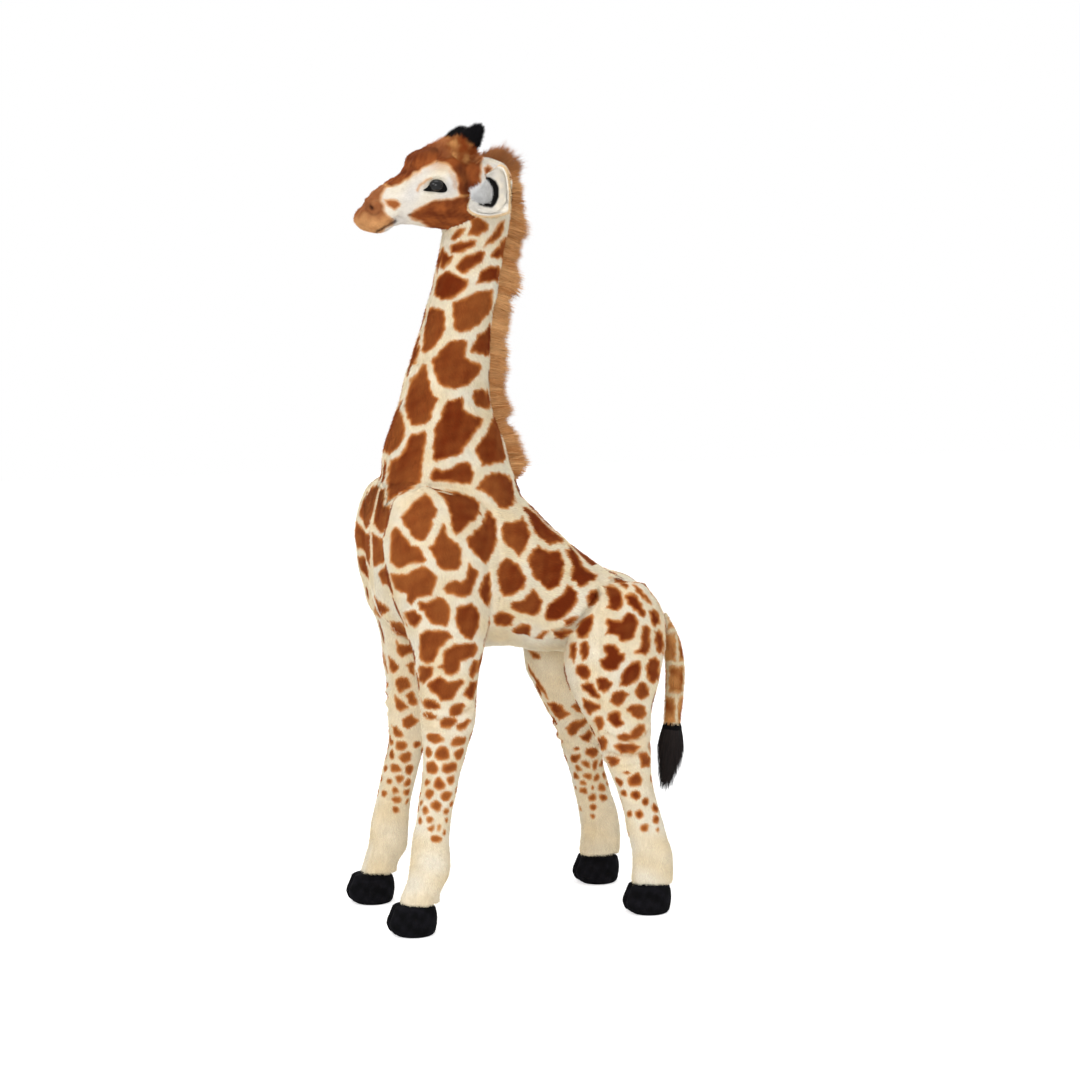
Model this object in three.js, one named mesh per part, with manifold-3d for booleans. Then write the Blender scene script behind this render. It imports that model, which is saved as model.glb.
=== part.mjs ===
// A standing plush giraffe on a steel frame. Millimetres, +Z up, the giraffe faces -Y and its left is +X.
// The outer pieces are sewn plush skins, each over its own filling, carried by welded rods inside.
import * as THREE from "three";
import { mergeVertices } from "three/addons/utils/BufferGeometryUtils.js";
import Module from "manifold-3d";

const wasm = await Module();
wasm.setup();

// Sewing and fitting
const SKIN = 4; // pile, backing and seam allowance of the plush
const SEAM_GAP = 0.3; // between pieces that are sewn or seated on each other
const SWING_GAP = 0.6; // round the root of an ear, the tail and its tuft
const LEAST_HALF = 1.5; // a shrunk section keeps at least this
const LEAST_EDGE = 0.02; // shorter edges left by a cut are drawn together

// Legs and hooves
const HOOF_HEIGHT = 52;
const HOOF_WIDTH = 73;
const HOOF_LENGTH = 84;
const FRONT_HOOF_TOE = 12; // how far the sole's centre lies in front of the leg's
const REAR_HOOF_TOE = 3;
const HOOF_CLEFT = 11; // depth of the groove between the two toes
const FRONT_LEG_LENGTH = 683;
const FRONT_LEG_WIDTH = 122;
const FRONT_LEG_DEPTH = 180;
const FRONT_LEG_LEAN = 68; // the foot stands this far in front of the knee
const FRONT_LEG_TOP_SPACING = 166; // between the centre lines, at the shoulder
const REAR_LEG_LENGTH = 518;
const REAR_LEG_WIDTH = 108;
const REAR_LEG_DEPTH = 174;
const REAR_LEG_LEAN = 54; // the foot stands this far behind the thigh
const REAR_LEG_TOP_SPACING = 168;
const FOOT_SPACING = 238;
const LEG_SPACING = 300; // from the front knee line to the rear thigh line

// Torso, with its centre line running from the shoulder down to the hip
const CHEST_REACH = 109; // in front of the front knee line
const RUMP_REACH = 127; // behind the rear thigh line
const TORSO_WIDTH = 236;
const TORSO_HEIGHT = 300;
const SHOULDER_DROP = 109; // centre line below the top of the front legs
const HIP_DROP = 65; // centre line below the top of the rear legs

// Neck and head
const NECK_LENGTH = 555;
const NECK_WIDTH = 196;
const NECK_DEPTH = 244;
const NECK_LEAN = 60; // the top lies this far behind the base
const NECK_SETBACK = 25; // base behind the front knee line
const NECK_SEAT = 34; // base above the torso's centre line
const HEAD_LENGTH = 269;
const HEAD_WIDTH = 132;
const HEAD_HEIGHT = 141;
const HEAD_DROP = 60; // the muzzle's centre below the skull's
const HEAD_SEAT = 35; // skull centre above the neck's top
const NAPE_REACH = 53; // back of the skull behind the neck's top centre

// Horns, each a plush stalk with a shaggy black tip on it
const HORN_SPACING = 68; // between the stalks' roots
const HORN_SETBACK = 98; // roots in front of the back of the skull
const HORN_SPLAY_SHARE = 0.22; // sideways and backward lean, as shares of the rise
const HORN_RAKE_SHARE = 0.8;
const STALK_HEIGHT = 17; // out of the head
const STALK_SINK = 12; // into the head
const STALK_ROOT_DIAMETER = 46;
const STALK_TOP_DIAMETER = 33;
const HORN_LENGTH = 36;
const HORN_DIAMETER = 35;

// Ears
const EAR_LENGTH = 96;
const EAR_WIDTH = 92;
const EAR_CUP = 26; // how far the rims stand forward of the middle
const EAR_BACK_THICKNESS = 4;
const EAR_LINING_THICKNESS = 2.6;
const EAR_ROLL_DIAMETER = 11; // the sewn roll at the root
const EAR_ROLL_LENGTH = 34;
const EAR_SETBACK = 65; // root in front of the back of the skull
const EAR_RISE = 2; // root above the skull's centre line
const EAR_FLUFF_LENGTH = 44;
const EAR_FLUFF_WIDTH = 40;
const EAR_FLUFF_THICKNESS = 9;

// Eyes
const EYE_DIAMETER = 21;
const EYE_SINK = 5; // centre of the ball below the plush
const EYE_SHANK_DIAMETER = 5;
const EYE_SHANK_LENGTH = 21;
const EYE_WASHER_DIAMETER = 19;
const EYE_WASHER_THICKNESS = 2;
const EYE_RIM_LENGTH = 41;
const EYE_RIM_HEIGHT = 24;
const EYE_RIM_THICKNESS = 1.4;
const EYE_SETBACK = 148; // in front of the back of the skull
const EYE_RISE = 1; // above the head's centre line there

// Muzzle
const NOSTRIL_LENGTH = 13;
const NOSTRIL_WIDTH = 6;
const NOSTRIL_DEPTH = 3;
const NOSTRIL_SETBACK = 24; // behind the tip of the muzzle
const NOSTRIL_RISE_SHARE = 0.62; // up the side of the muzzle, as a share of a right angle

// Mane
const MANE_HEIGHT = 31; // out of the neck
const MANE_THICKNESS = 20;
const MANE_ROOT = 6; // root below the neck's surface
const MANE_WAVE = 3; // height of the locks along its edge
const MANE_LOCK_LENGTH = 60;

// Tail and tuft
const TAIL_LENGTH = 188;
const TAIL_DIAMETER = 31;
const TAIL_BULGE = 19; // how far it swings out behind its root
const TAIL_ROOT_DIAMETER = 16;
const TAIL_ROOT_RISE = 3; // root above the rump's centre
const TUFT_LENGTH = 100;
const TUFT_DIAMETER = 42;
const TUFT_LEAN = 12; // its tip in front of its root
const TUFT_ROOT_DIAMETER = 18;

// Steel frame
const ROD_DIAMETER = 8;
const BAR_DIAMETER = 12;
const ROD_CLEARANCE = 0.5; // hole round a rod
const SHOULDER_BAR_DROP = 95; // below the top of the front legs
const HIP_BAR_DROP = 62; // below the top of the rear legs
const PLATE_THICKNESS = 3;
const PLATE_MARGIN = 14; // inside the hoof's outline
const PLATE_RISE = 8; // above the floor
const HEAD_RING_DIAMETER = 46; // closed loop that carries the head
const NECK_ROD_STUB = 22; // rod's end above the neck's top

// Faceting
const BODY_SIDES = 16;
const LINING_SIDES = 10; // hidden faces between skin and filling
const HOOF_SIDES = 26;
const ROD_SIDES = 8;
const SMALL_SIDES = 10;
const EYE_RINGS = 4;
const MANE_LOCK_RINGS = 2;

// Heights and places that follow from the sizes above
const frontLegTop = HOOF_HEIGHT + FRONT_LEG_LENGTH;
const rearLegTop = HOOF_HEIGHT + REAR_LEG_LENGTH;
const frontKneeY = -LEG_SPACING / 2;
const rearThighY = LEG_SPACING / 2;
const torsoLength = CHEST_REACH + LEG_SPACING + RUMP_REACH;
const chestY = frontKneeY - CHEST_REACH;
const shoulderZ = frontLegTop - SHOULDER_DROP;
const hipZ = rearLegTop - HIP_DROP;
const neckBaseY = frontKneeY + NECK_SETBACK;
const neckBaseZ = shoulderZ + NECK_SEAT;
const neckTopY = neckBaseY + NECK_LEAN;
const neckTopZ = neckBaseZ + NECK_LENGTH;
const napeY = neckTopY + NAPE_REACH;
const skullZ = neckTopZ + HEAD_SEAT;

// Each row is a section: along, width, depth or height, then what moves its centre, as shares of the sizes.
const frontLegShares = [
  [1.0, 0.41, 0.46, 0.15, 0.0],
  [0.94, 0.85, 0.87, 0.23, 0.03],
  [0.83, 1.0, 1.0, 0.26, 0.04],
  [0.73, 0.97, 0.95, 0.11, 0.11],
  [0.64, 0.88, 0.75, 0.0, 0.22],
  [0.54, 0.78, 0.59, 0.03, 0.33],
  [0.43, 0.65, 0.49, 0.09, 0.45],
  [0.34, 0.54, 0.38, 0.23, 0.58],
  [0.24, 0.48, 0.34, 0.47, 0.72],
  [0.14, 0.48, 0.35, 0.63, 0.83],
  [0.07, 0.53, 0.38, 0.74, 0.92],
  [0.0, 0.5, 0.39, 1.0, 1.0],
];
const rearLegShares = [
  [1.0, 0.44, 0.5, 0.33, 0.0],
  [0.92, 0.78, 0.82, 0.18, 0.17],
  [0.81, 1.0, 1.0, 0.04, 0.36],
  [0.69, 1.0, 0.92, 0.02, 0.5],
  [0.57, 0.87, 0.71, 0.0, 0.61],
  [0.48, 0.74, 0.54, 0.18, 0.72],
  [0.35, 0.61, 0.4, 0.41, 0.83],
  [0.2, 0.57, 0.4, 0.8, 0.94],
  [0.1, 0.61, 0.42, 1.04, 1.0],
  [0.0, 0.59, 0.42, 1.0, 1.0],
];
const torsoShares = [
  [0.0, 0.17, 0.2, -0.12],
  [0.019, 0.53, 0.56, -0.09],
  [0.069, 0.81, 0.85, -0.05],
  [0.172, 0.97, 0.99, 0.0],
  [0.303, 1.0, 1.0, 0.12],
  [0.434, 0.99, 0.89, 0.25],
  [0.566, 0.96, 0.76, 0.52],
  [0.678, 0.93, 0.59, 0.75],
  [0.781, 0.9, 0.46, 0.93],
  [0.893, 0.8, 0.37, 1.0],
  [0.963, 0.53, 0.24, 1.07],
  [1.0, 0.19, 0.1, 1.11],
];
const neckShares = [
  [0.0, 0.92, 0.82, -0.17],
  [0.072, 1.0, 1.0, -0.03],
  [0.144, 0.89, 0.93, 0.02],
  [0.254, 0.755, 0.85, 0.02],
  [0.409, 0.63, 0.62, 0.0],
  [0.591, 0.53, 0.495, 0.275],
  [0.773, 0.48, 0.46, 0.61],
  [0.93, 0.47, 0.44, 0.91],
  [1.0, 0.47, 0.44, 1.0],
];
const headShares = [
  [0.0, 0.3, 0.2, -0.03],
  [0.036, 0.6, 0.43, -0.02],
  [0.124, 0.83, 0.67, 0.07],
  [0.248, 0.97, 0.85, 0.17],
  [0.328, 1.0, 0.95, 0.15],
  [0.438, 1.0, 1.0, 0.09],
  [0.547, 0.92, 0.95, 0.1],
  [0.62, 0.82, 0.83, 0.19],
  [0.693, 0.7, 0.65, 0.39],
  [0.766, 0.59, 0.54, 0.55],
  [0.839, 0.55, 0.53, 0.78],
  [0.901, 0.52, 0.44, 0.87],
  [0.955, 0.4, 0.29, 0.97],
  [1.0, 0.16, 0.1, 1.02],
];
const hoofShares = [
  [1.0, 0.84, 0.8, 0.0],
  [0.72, 0.96, 0.94, 0.66],
  [0.28, 1.0, 1.0, 1.0],
  [0.08, 0.96, 0.96, 1.0],
  [0.0, 0.88, 0.9, 1.0],
];
const tailShares = [
  [0.0, 0.52, 0.0],
  [0.11, 0.8, 0.32],
  [0.3, 0.97, 0.75],
  [0.5, 1.0, 1.0],
  [0.76, 0.95, 0.92],
  [1.0, 0.85, 0.7],
];
const tuftShares = [
  [0.0, 0.43, 0.0],
  [0.12, 0.68, 0.02],
  [0.26, 0.95, 0.12],
  [0.45, 1.0, 0.3],
  [0.66, 0.8, 0.55],
  [0.85, 0.46, 0.8],
  [1.0, 0.14, 1.0],
];
const hornShares = [
  [0.0, 0.9],
  [0.25, 1.0],
  [0.55, 0.9],
  [0.82, 0.66],
  [0.96, 0.36],
];
const earWidthShares = [
  [0.0, 0.4],
  [0.15, 0.62],
  [0.4, 0.97],
  [0.6, 1.0],
  [0.8, 0.76],
  [0.93, 0.44],
  [1.0, 0.14],
];
const earAcrossShares = [-1, -0.88, -0.6, -0.3, 0, 0.3, 0.6, 0.88, 1]; // from rim to rim
const earAlongShares = [0, 0.09, 0.22, 0.38, 0.54, 0.7, 0.84, 0.94, 1]; // from root to tip
const earFluffShares = [
  [0.0, 0.3],
  [0.2, 0.8],
  [0.5, 1.0],
  [0.8, 0.8],
  [1.0, 0.3],
];
const maneNeckShares = [0.17, 0.28, 0.41, 0.55, 0.7, 0.85, 0.97]; // up the neck
const maneHeadShares = [0.02, 0.09, 0.17]; // and forward over the head
const maneSectionShares = [
  [-1.0, 0.0],
  [-1.0, 0.4],
  [-0.7, 0.8],
  [0.0, 1.0],
  [0.7, 0.8],
  [1.0, 0.4],
  [1.0, 0.0],
];
const ballShares = [0.1, 0.4, 0.7]; // rings over the top of a ball, from its pole to its waist
const EAR_OUT_SHARES = [0.9, 0.16, -0.38]; // from root to tip: out, a little back and drooping
const EAR_WIDE_SHARES = [0.3, 0.56, 0.77]; // from the lower front rim to the upper back rim
const EAR_FLUFF_ROUND_SHARE = 0.7; // how much the fluff thins toward its edges
const roundTurnShares = [0.25, 0.75]; // where the diagonals of a round loft change over, round its section
const panelTurnShares = [0.5, 1]; // and those of a panel
const MANE_END_SHARE = 0.35; // height of the mane at its two ends
const CLEFT_WIDTH_SHARE = 0.16; // of the hoof's half width
const CLEFT_TOP_SHARE = 0.5; // depth of the cleft at the hoof's top
const EAR_ROLL_PROUD_SHARE = 0.125; // how far the roll's centre stands off the head
const EAR_ROLL_TUCK_SHARE = 0.2; // how deep the ear's panels start in the roll
const EYE_CORNER_SHARE = 0.17; // how far the eye's corners lie below its centre
const PROBE_SHARE = 0.01; // step along the head for its slope
const PROBE_TURN = Math.PI / 60; // step round the head for its slope

// Geometry and booleans
function solidOf(geometry) {
  const bare = new THREE.BufferGeometry();
  bare.setAttribute("position", geometry.getAttribute("position"));
  bare.setIndex(geometry.getIndex());
  const merged = mergeVertices(bare);
  const made = new wasm.Manifold(
    new wasm.Mesh({
      numProp: 3,
      vertProperties: merged.attributes.position.array,
      triVerts: new Uint32Array(merged.index.array),
    }),
  );
  if (made.volume() > 0) return made;
  const turned = new Uint32Array(merged.index.array).reverse();
  const vertProperties = merged.attributes.position.array;
  return new wasm.Manifold(new wasm.Mesh({ numProp: 3, vertProperties, triVerts: turned }));
}

function geometryOf(solid) {
  const mesh = solid.getMesh();
  const places = new Float32Array(mesh.numVert * 3);
  for (let i = 0; i < mesh.numVert; i++) {
    places.set(mesh.vertProperties.subarray(i * mesh.numProp, i * mesh.numProp + 3), i * 3);
  }
  const geometry = new THREE.BufferGeometry();
  geometry.setAttribute("position", new THREE.BufferAttribute(places, 3));
  geometry.setIndex(new THREE.BufferAttribute(mesh.triVerts, 1));
  geometry.computeVertexNormals();
  return geometry;
}

function mirrored(solid) {
  const geometry = geometryOf(solid);
  geometry.applyMatrix4(new THREE.Matrix4().makeScale(-1, 1, 1));
  return solidOf(geometry);
}

const bothSides = (solid) => solid.add(mirrored(solid));
const cutBy = (solid, ...others) => others.reduce((left, other) => left.subtract(other), solid);

// A closed solid over rings of points, with each end closed on its own centre. The diagonals of a round one
// are mirror images on its two sides, so that a piece made for the left fits it on the right too. Those of
// a panel are the same on its two faces, so that panels on one grid lie parallel.
function loft(rings, [turnsFrom, turnsTo] = roundTurnShares) {
  const sides = rings[0].length;
  const points = rings.flat();
  const centre = (ring) => ring.reduce((sum, p) => sum.add(p), new THREE.Vector3()).divideScalar(sides);
  points.push(centre(rings[0]), centre(rings[rings.length - 1]));
  const start = points.length - 2;
  const end = points.length - 1;
  const last = (rings.length - 1) * sides;
  const faces = [];
  for (let side = 0; side < sides; side++) {
    const next = (side + 1) % sides;
    const flipped = side >= sides * turnsFrom && side < sides * turnsTo;
    faces.push(start, next, side, end, last + side, last + next);
    for (let ring = 0; ring < rings.length - 1; ring++) {
      const a = ring * sides;
      const b = a + sides;
      if (flipped) faces.push(a + side, a + next, b + next, a + side, b + next, b + side);
      else faces.push(a + side, a + next, b + side, b + side, a + next, b + next);
    }
  }
  const geometry = new THREE.BufferGeometry().setFromPoints(points);
  geometry.setIndex(faces);
  return solidOf(geometry);
}

// The row at one place along, on a smooth curve through the rows.
function rowAt(rows, along) {
  const next = THREE.MathUtils.clamp(rows.findIndex((row) => row[0] >= along), 1, rows.length - 1);
  const part = (along - rows[next - 1][0]) / (rows[next][0] - rows[next - 1][0]);
  const place = (next - 1 + part) / (rows.length - 1);
  return rows[0].map((_, column) => {
    const points = rows.map((row) => new THREE.Vector3(row[0], row[column], 0));
    return new THREE.CatmullRomCurve3(points, false, "centripetal").getPoint(place).y;
  });
}

// One section's points: half sizes across (X) and up (the tilted axis), a little squarer than an ellipse.
function section({ centre, halfWidth, halfDepth, upright, notch = 0, boxiness = 2.15 }, sides) {
  return Array.from({ length: sides }, (_, i) => {
    const angle = (i / sides) * Math.PI * 2;
    const round = (value) => Math.sign(value) * Math.abs(value) ** (2 / boxiness);
    const across = round(Math.cos(angle)) * halfWidth;
    let deep = round(Math.sin(angle)) * halfDepth;
    if (notch && deep < 0) deep += notch * Math.exp(-((across / (halfWidth * CLEFT_WIDTH_SHARE)) ** 2));
    const out = upright ? new THREE.Vector3(across, 0, deep) : new THREE.Vector3(across, deep, 0);
    return out.add(centre);
  });
}

// A stuffed part over its sections, with every half size grown and the two ends moved out as far.
function stuffed(sections, grow = 0, sides = BODY_SIDES) {
  const last = sections.length - 1;
  const moved = sections.map((one) => ({
    ...one,
    centre: one.centre.clone(),
    halfWidth: Math.max(one.halfWidth + grow, LEAST_HALF),
    halfDepth: Math.max(one.halfDepth + grow, LEAST_HALF),
  }));
  const outward = (end, inner) => sections[end].centre.clone().sub(sections[inner].centre).setLength(grow);
  moved[0].centre.add(outward(0, 1));
  moved[last].centre.add(outward(last, last - 1));
  return loft(moved.map((one) => section(one, sides)));
}

// A round rod along points, with flat ends.
function rod(points, diameter, grow = 0, sides = ROD_SIDES) {
  const outline = new THREE.Shape();
  outline.absarc(0, 0, diameter / 2 + grow, 0, Math.PI * 2);
  const straight = () => new THREE.LineCurve3(...points);
  const bent = () => new THREE.CatmullRomCurve3(points, false, "centripetal");
  const extrudePath = points.length === 2 ? straight() : bent();
  const options = { steps: points.length - 1, extrudePath, curveSegments: sides / 2, bevelEnabled: false };
  return solidOf(new THREE.ExtrudeGeometry(outline, options));
}

// A profile of [radius, height] pairs turned about an axis through a place.
function turned(profile, place, direction, sides = SMALL_SIDES) {
  const points = profile.map(([radius, height]) => new THREE.Vector2(radius, height));
  const geometry = new THREE.LatheGeometry(points, sides);
  const turn = new THREE.Quaternion().setFromUnitVectors(new THREE.Vector3(0, 1, 0), direction);
  geometry.applyMatrix4(new THREE.Matrix4().compose(place, turn, new THREE.Vector3(1, 1, 1)));
  return solidOf(geometry);
}

// The sections of each stuffed part
function legSections(rows, { length, width, depth, lean, kneeY, topSpacing }) {
  return rows.map(([along, wide, deep, out, splay]) => ({
    centre: new THREE.Vector3(
      THREE.MathUtils.lerp(topSpacing / 2, FOOT_SPACING / 2, splay),
      kneeY + lean * out,
      HOOF_HEIGHT + SEAM_GAP + (length - SEAM_GAP) * along,
    ),
    halfWidth: (width / 2) * wide,
    halfDepth: (depth / 2) * deep,
  }));
}

const frontLeg = legSections(frontLegShares, {
  length: FRONT_LEG_LENGTH,
  width: FRONT_LEG_WIDTH,
  depth: FRONT_LEG_DEPTH,
  lean: -FRONT_LEG_LEAN,
  kneeY: frontKneeY,
  topSpacing: FRONT_LEG_TOP_SPACING,
});
const rearLeg = legSections(rearLegShares, {
  length: REAR_LEG_LENGTH,
  width: REAR_LEG_WIDTH,
  depth: REAR_LEG_DEPTH,
  lean: REAR_LEG_LEAN,
  kneeY: rearThighY,
  topSpacing: REAR_LEG_TOP_SPACING,
});

const torso = torsoShares.map(([along, wide, high, drop]) => ({
  centre: new THREE.Vector3(0, chestY + torsoLength * along, THREE.MathUtils.lerp(shoulderZ, hipZ, drop)),
  halfWidth: (TORSO_WIDTH / 2) * wide,
  halfDepth: (TORSO_HEIGHT / 2) * high,
  upright: true,
}));

const neckSection = ([along, wide, deep, lean]) => ({
  centre: new THREE.Vector3(0, neckBaseY + NECK_LEAN * lean, neckBaseZ + NECK_LENGTH * along),
  halfWidth: (NECK_WIDTH / 2) * wide,
  halfDepth: (NECK_DEPTH / 2) * deep,
});
const neck = neckShares.map(neckSection);

const headSection = ([along, wide, high, drop]) => ({
  centre: new THREE.Vector3(0, napeY - HEAD_LENGTH * along, skullZ - HEAD_DROP * drop),
  halfWidth: (HEAD_WIDTH / 2) * wide,
  halfDepth: (HEAD_HEIGHT / 2) * high,
  upright: true,
});
const head = headShares.map(headSection);

// A point on the head's side, a distance in front of the nape and an angle up from the level.
function headPoint(setback, angle) {
  const { centre, halfWidth, halfDepth } = headSection(rowAt(headShares, setback / HEAD_LENGTH));
  return centre.add(new THREE.Vector3(Math.cos(angle) * halfWidth, 0, Math.sin(angle) * halfDepth));
}

// The outward direction there, from near points.
function headNormal(setback, angle) {
  const step = HEAD_LENGTH * PROBE_SHARE;
  const back = headPoint(setback - step, angle).sub(headPoint(setback + step, angle));
  const up = headPoint(setback, angle + PROBE_TURN).sub(headPoint(setback, angle - PROBE_TURN));
  return back.cross(up).normalize();
}

// The same outer shapes grown by a seam gap are what every neighbour is cut by.
const grownTorso = stuffed(torso, SEAM_GAP);
const grownNeck = stuffed(neck, SEAM_GAP);
const grownHead = stuffed(head, SEAM_GAP);

// Steel frame
const shoulderBarZ = frontLegTop - SHOULDER_BAR_DROP;
const hipBarZ = rearLegTop - HIP_BAR_DROP;
const plateTop = PLATE_RISE + PLATE_THICKNESS;

// A leg rod follows the middle of its leg from its bar to the foot plate.
function legRodPoints(sections, barZ) {
  const below = sections.findIndex(({ centre }) => centre.z <= barZ);
  const [a, b] = [sections[below - 1].centre, sections[below].centre];
  const top = a.clone().lerp(b, (a.z - barZ) / (a.z - b.z));
  const low = sections.slice(0, -1).filter(({ centre }) => centre.z < barZ - BAR_DIAMETER);
  const inside = low.filter((_, i) => i % 2 === 1);
  const ankle = sections[sections.length - 1].centre;
  return [top, ...inside.map(({ centre }) => centre), ankle, ankle.clone().setZ(plateTop + SEAM_GAP)];
}

const frontRodPoints = legRodPoints(frontLeg, shoulderBarZ);
const rearRodPoints = legRodPoints(rearLeg, hipBarZ);
const barPoints = (end) => [-1, 1].map((side) => end.clone().setX(side * (end.x + BAR_DIAMETER)));
const shoulderBarPoints = barPoints(frontRodPoints[0]);
const hipBarPoints = barPoints(rearRodPoints[0]);
const spinePoints = [frontRodPoints[0].clone().setX(0), rearRodPoints[0].clone().setX(0)];
const neckRodPoints = [
  spinePoints[0],
  new THREE.Vector3(0, neckBaseY, neckBaseZ),
  ...neck.filter((_, i) => i > 1 && i % 2 === 0).map(({ centre }) => centre),
  new THREE.Vector3(0, neckTopY, neckTopZ + NECK_ROD_STUB),
];

const bar = (points, grow = 0) => rod(points, BAR_DIAMETER, grow);
const bars = bar(shoulderBarPoints, SEAM_GAP).add(bar(hipBarPoints, SEAM_GAP));

function headRing(grow = 0) {
  const radius = HEAD_RING_DIAMETER / 2;
  const ring = new THREE.TorusGeometry(radius, ROD_DIAMETER / 2 + grow, ROD_SIDES, SMALL_SIDES);
  ring.rotateY(Math.PI / 2);
  ring.translate(0, neckTopY, neckTopZ + NECK_ROD_STUB + radius);
  return solidOf(ring);
}

const spineGap = rod(spinePoints, ROD_DIAMETER, SEAM_GAP);
const neckRod = cutBy(rod(neckRodPoints, ROD_DIAMETER), bars, spineGap).add(headRing());
const rodHole = (points) => rod(points, ROD_DIAMETER, ROD_CLEARANCE);
const neckHole = rodHole(neckRodPoints).add(headRing(ROD_CLEARANCE));
const legHoles = rodHole(frontRodPoints).add(rodHole(rearRodPoints));
const barHoles = bar(shoulderBarPoints, ROD_CLEARANCE).add(bar(hipBarPoints, ROD_CLEARANCE));
const torsoHoles = bothSides(legHoles).add(barHoles).add(neckHole).add(rodHole(spinePoints));

// Hooves, each moulded round a stiff plate that the leg rod stands on
function hoofSections(foot, toeReach) {
  return hoofShares.map(([along, wide, deep, toe]) => ({
    centre: new THREE.Vector3(foot.x, foot.y - toeReach * toe, HOOF_HEIGHT * along),
    halfWidth: (HOOF_WIDTH / 2) * wide,
    halfDepth: (HOOF_LENGTH / 2) * deep,
    notch: HOOF_CLEFT * THREE.MathUtils.lerp(1, CLEFT_TOP_SHARE, along),
  }));
}

function footPlate(sections, grow = 0) {
  const { centre, halfWidth, halfDepth } = sections[2];
  const faces = [plateTop + grow, PLATE_RISE - grow].map((z) => ({
    centre: centre.clone().setZ(z),
    halfWidth: halfWidth - PLATE_MARGIN + grow,
    halfDepth: halfDepth - PLATE_MARGIN + grow,
  }));
  return loft(faces.map((one) => section(one, SMALL_SIDES)));
}

// Ears, each on a roll that turns in a groove of the head
const direction = (shares) => new THREE.Vector3(...shares).normalize();
const earAngle = EAR_RISE / (HEAD_HEIGHT / 2);
const earNormal = headNormal(EAR_SETBACK, earAngle);
const earProud = EAR_ROLL_DIAMETER * EAR_ROLL_PROUD_SHARE;
const earTuck = EAR_ROLL_DIAMETER * EAR_ROLL_TUCK_SHARE;
const earRoot = headPoint(EAR_SETBACK, earAngle).addScaledVector(earNormal, earProud);
const earOut = direction(EAR_OUT_SHARES);
const earWide = direction(EAR_WIDE_SHARES).projectOnPlane(earOut).normalize();
const earFace = earOut.clone().cross(earWide);

// A point of the ear: along from root to tip, across from rim to rim, and out of the cup.
function earPoint(along, across, out) {
  const half = (EAR_WIDTH / 2) * rowAt(earWidthShares, along)[1];
  const cup = EAR_CUP * across ** 2 * (half / (EAR_WIDTH / 2));
  return earRoot
    .clone()
    .addScaledVector(earOut, THREE.MathUtils.lerp(earTuck, EAR_LENGTH, along))
    .addScaledVector(earWide, half * across)
    .addScaledVector(earFace, cup + out);
}

// A cupped panel between two depths. An inset leaves out that many lines of the ear's grid on every side.
function earPanel(low, high, inset = 0) {
  const within = (shares) => shares.slice(inset, shares.length - inset);
  const rings = within(earAlongShares).map((along) => {
    const under = within(earAcrossShares).map((across) => earPoint(along, across, low));
    const over = within(earAcrossShares).map((across) => earPoint(along, across, high));
    return [...under, ...over.reverse()];
  });
  return loft(rings, panelTurnShares);
}

function earRoll(grow = 0, longer = 0) {
  const reach = EAR_ROLL_LENGTH / 2 + longer;
  const ends = [-reach, reach].map((far) => earRoot.clone().addScaledVector(earWide, far));
  return rod(ends, EAR_ROLL_DIAMETER, grow);
}

const earGroove = earRoll(SWING_GAP, SWING_GAP);
const backHalf = EAR_BACK_THICKNESS / 2;
const earBack = earPanel(-backHalf, backHalf).add(earRoll());
const liningFace = backHalf + SEAM_GAP + EAR_LINING_THICKNESS;
const earLining = earPanel(backHalf + SEAM_GAP, liningFace, 1);
const grownLayers = earPanel(-backHalf, liningFace + SEAM_GAP).add(earRoll(SEAM_GAP));

// The tuft of long hair in the cup, as a swelling pad on the lining.
function earFluff() {
  const rings = earFluffShares.map(([share, swell]) => {
    const along = earAlongShares[1] + (EAR_FLUFF_LENGTH / EAR_LENGTH) * share;
    const across = earAcrossShares.map((one) => one * (EAR_FLUFF_WIDTH / EAR_WIDTH) * swell);
    const under = across.map((one) => earPoint(along, one, backHalf));
    const thins = (share) => 1 - share ** 2 * EAR_FLUFF_ROUND_SHARE;
    const rises = earAcrossShares.map((one) => liningFace + EAR_FLUFF_THICKNESS * swell * thins(one));
    const over = across.map((one, i) => earPoint(along, one, rises[i])).reverse();
    return [...under, ...over];
  });
  return cutBy(loft(rings, panelTurnShares), grownLayers);
}

// Horns
const hornDirection = direction([HORN_SPLAY_SHARE, HORN_RAKE_SHARE, 1]);
const hornHalf = headSection(rowAt(headShares, HORN_SETBACK / HEAD_LENGTH)).halfWidth;
const stalkRoot = headPoint(HORN_SETBACK, Math.acos(HORN_SPACING / 2 / hornHalf));
const stalkBase = stalkRoot.clone().addScaledVector(hornDirection, -STALK_SINK);
const stalkProfile = [
  [0, 0],
  [STALK_ROOT_DIAMETER / 2, 0],
  [STALK_ROOT_DIAMETER / 2, STALK_SINK],
  [STALK_TOP_DIAMETER / 2, STALK_SINK + STALK_HEIGHT],
  [0, STALK_SINK + STALK_HEIGHT],
];
const stalk = cutBy(turned(stalkProfile, stalkBase, hornDirection), grownHead);
const hornBase = stalkRoot.clone().addScaledVector(hornDirection, STALK_HEIGHT + SEAM_GAP);
const hornProfile = [
  [0, 0],
  ...hornShares.map(([along, wide]) => [(HORN_DIAMETER / 2) * wide, HORN_LENGTH * along]),
  [0, HORN_LENGTH],
];
const horn = cutBy(turned(hornProfile, hornBase, hornDirection), grownHead);

// Eyes: a ball on a shank, held inside by a washer, with a dark rim sewn round it
const eyeAngle = EYE_RISE / (HEAD_HEIGHT / 2);
const eyeOut = headNormal(EYE_SETBACK, eyeAngle);
const eyeCentre = headPoint(EYE_SETBACK, eyeAngle).addScaledVector(eyeOut, -EYE_SINK);

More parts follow.
